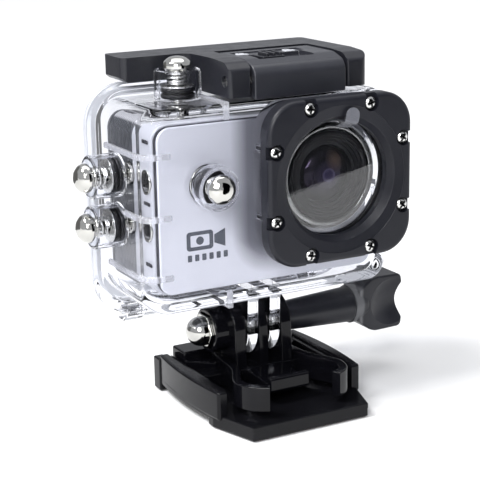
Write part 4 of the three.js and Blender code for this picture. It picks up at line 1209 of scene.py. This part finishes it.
def buckle():
    half, back, bottom = 15.9, 19.5, 4.1
    runner = block(-17.2, 4, bottom, 17.2, back, 7.6, 0.4)
    left = [(-half, back, 0.5), (-half, 12, 1.0), (-9.8, 6.5, 1.0), (-9.8, -1, 0.8)]
    body = prism("z", rounded(both_sides(left), 4), bottom, 9.5, 0.4)
    shoulder = block(-half, 12.5, 5, half, back, 11.5, 0.5)
    lip = rounded([
        (0, bottom), (0, 9.4, 0.3), (-11.2, 8.8, 0.8), (-11.8, 10.7, 0.3), (-13.3, 10.7, 1.1),
        (-13.5, 7.4, 0.6), (-12, 6.2, 0.5),
    ], 8)
    tongue = prism("x", lip, -5.4, 5.4, 0.4)
    boss = rod(5.6, 7.5, 12.3, HUB, LEFT, 0.4)
    fingers = [finger(-8, -4.9), finger(-1.3, 1.3), finger(4.9, 8)]
    joined(runner, body, shoulder, tongue, boss, spring_arm(1), spring_arm(-1), *fingers)
    prong_slots = [rod(8.1, 1.3, 4.9, HUB, out) for out in (LEFT, RIGHT)]
    nut_pocket = rod(4.95, 9.4, 14, HUB, LEFT, segments=6)
    return softened(cut(runner, *prong_slots, rod(PIVOT_BORE, -20, 20, HUB, RIGHT), nut_pocket), 0.32, 3, 45)


def cap_nut():
    """A hexagon nut closed by half of an ellipse."""
    radius, start, tip, steps = 3.7, 13.9, 17.5, 14
    angles = [pi / 2 * k / steps for k in range(steps)]
    crown = [(radius * cos(a), start + (tip - start) * sin(a)) for a in angles]
    dome = lathe([(0, 12.6), (radius, 12.6), *crown, (0, tip)], HUB, LEFT)
    return cut(joined(rod(4.6, 9.7, 13.2, HUB, LEFT, 0.25, 6), dome), rod(2.6, 0, 15, HUB, LEFT))


def knob():
    start, collar, grip, end, span = 8.4, 29.0, 31.5, 43.6, 7.4
    stem = lathe([
        (0, start), (3.7, start, 0.3), (4.7, collar - 0.05), (5.0, collar, 0.1), (5.0, grip, 0.2),
        (4.4, grip + 2, 1.0), (0, grip + 2),
    ], HUB, RIGHT)
    lower = [
        (grip - 1, -4.4, 0.5), (grip + 3, -span, 5.0), (end - 0.3, 0.2 - span, 1.4), (end, -4.8, 2.0),
    ]
    upper = [(x, -y, radius) for x, y, radius in reversed(lower)]
    lobes = prism("y", rounded([*lower, (end - 1.6, 0, 9.0), *upper], 8), -4.2, 4.2, 1.2, 5)
    scoops = []
    for side in (-1, 1):
        bm = bmesh.new()
        bmesh.ops.create_uvsphere(bm, u_segments=64, v_segments=40, radius=11)
        scoops.append(moved(new_object(bm), Matrix.Translation((end - 3.4, side * 13.2, 0))))
    handle = moved(softened(cut(lobes, *scoops), 0.25, 3, 30), Matrix.Translation(HUB))
    return cut(joined(stem, handle), rod(PIVOT_BORE, 0, 12.6, HUB, RIGHT))


piece(buckle(), "quick_buckle", "buckle_black", GLOSS, "buckle_body", body="buckle", origin=MOUNT)
piece(cap_nut(), "domed_nut", "chrome", CHROME, "cap_nut", body="buckle", origin=MOUNT)
piece(knob(), "screw_knob", "knob_black", KNOB, "thumb_screw_knob", body="thumb_screw", origin=MOUNT)

# ---- materials of the CAD nodes kept
KEPT = {
    "thumb_screw_stud": STEEL, "door_hinge_pin": STEEL, "latch_pin": STEEL, "lens_barrel": BARREL,
    "sensor_board": BOARD, "main_board": BOARD, "battery": WRAP, "memory_card": BARREL,
}
for name, material in KEPT.items():
    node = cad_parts[name]
    node.data.materials.clear()
    node.data.materials.append(material)


# ---- stage, light and camera
def aimed(obj, place, aim, forward):
    obj.location = place
    obj.rotation_mode = "QUATERNION"
    obj.rotation_quaternion = (Vector(aim) - Vector(place)).to_track_quat(forward, "Y")
    return obj


def stage_plane(name, size, material):
    bm = bmesh.new()
    bmesh.ops.create_grid(bm, x_segments=1, y_segments=1, size=0.5)
    obj = new_object(bm)
    obj.name = name
    obj.data.transform(Matrix.Diagonal((*size, 1, 1)))
    obj.data.materials.append(material)
    return obj


def card(name, strength, size, place, aim):
    """A card that only reflections and refractions see."""
    n = Nodes(name)
    n.set(Base_Color=(0, 0, 0, 1), Roughness=1.0, Specular_IOR_Level=0.0)
    n.set(Emission_Color=(1, 1, 1, 1), Emission_Strength=strength)
    obj = aimed(stage_plane(name, size, n.material), place, aim, "Z")
    obj.visible_camera = False
    obj.visible_diffuse = False
    obj.visible_shadow = False


def floor_material():
    n = Nodes("pale_floor")
    n.base(n.blend(n.noise(8), (0.88, 0.88, 0.885), (0.90, 0.90, 0.90)))
    n.set(Roughness=0.6, Specular_IOR_Level=0.2)
    return n.material


def light(name, kind, energy, place, aim):
    data = bpy.data.lights.new(name, kind)
    data.energy = energy
    linked(aimed(bpy.data.objects.new(name, data), place, aim, "-Z"))
    return data


def area_light(name, size, energy, place, aim):
    data = light(name, "AREA", energy, place, aim)
    data.shape = "RECTANGLE"
    data.size, data.size_y = size


def studio_world():
    """Soft surroundings that are brighter in reflections and white where the camera sees them."""
    plain, reflected, seen = 0.35, 0.27, 0.65
    world = bpy.data.worlds.new("studio")
    world.use_nodes = True
    nodes, links = world.node_tree.nodes, world.node_tree.links
    background = nodes["Background"]
    background.inputs["Color"].default_value = (0.93, 0.95, 1.0, 1)
    rays = nodes.new("ShaderNodeLightPath")
    glossy, whole = nodes.new("ShaderNodeMath"), nodes.new("ShaderNodeMath")
    for node, ray, more in ((glossy, "Is Glossy Ray", reflected), (whole, "Is Camera Ray", seen)):
        node.operation = "MULTIPLY_ADD"
        links.new(rays.outputs[ray], node.inputs[0])
        node.inputs[1].default_value = more
    glossy.inputs[2].default_value = plain
    links.new(glossy.outputs[0], whole.inputs[2])
    links.new(whole.outputs[0], background.inputs["Strength"])
    return world


def studio_camera():
    """The view of the photo, found by fitting the camera body's corners."""
    azimuth, elevation, roll = (radians(a) for a in (-28.03, 14.87, -1.11))
    distance, target = 0.34199, CAMERA + Vector((-7.82, 0, 11.41)) * MM
    data = bpy.data.cameras.new("camera")
    data.lens = 107.1
    data.sensor_width = 36
    data.clip_start = 0.01
    obj = linked(bpy.data.objects.new("camera", data))
    turn = Matrix.Rotation(azimuth, 4, "Z") @ Matrix.Rotation(pi / 2 - elevation, 4, "X")
    back = Matrix.Translation((0, 0, distance))
    obj.matrix_world = Matrix.Translation(target) @ turn @ Matrix.Rotation(roll, 4, "Z") @ back
    return obj


stage_plane("floor", (30, 30), floor_material())
card("dark_card", 0.0, (0.42, 0.24), (0.190, -0.250, 0.121), (0.316, -0.017, 0.121))
card("grey_card", 0.2, (0.32, 0.2), (-0.22, 0.18, 0.101), (-0.22, 0, 0.101))
light("sun", "SUN", 3.0, (-0.55, 0.05, 0.83), (0, 0, 0)).angle = radians(22)
area_light("front", (0.30, 0.40), 5.0, (-0.42, -0.55, 0.45), (0, 0, 0.05))
area_light("top", (0.5, 0.35), 1.2, (0.05, 0.10, 0.62), (0, 0, 0.05))

scene = bpy.context.scene
scene.world = studio_world()
scene.view_settings.view_transform = "Standard"
scene.camera = studio_camera()
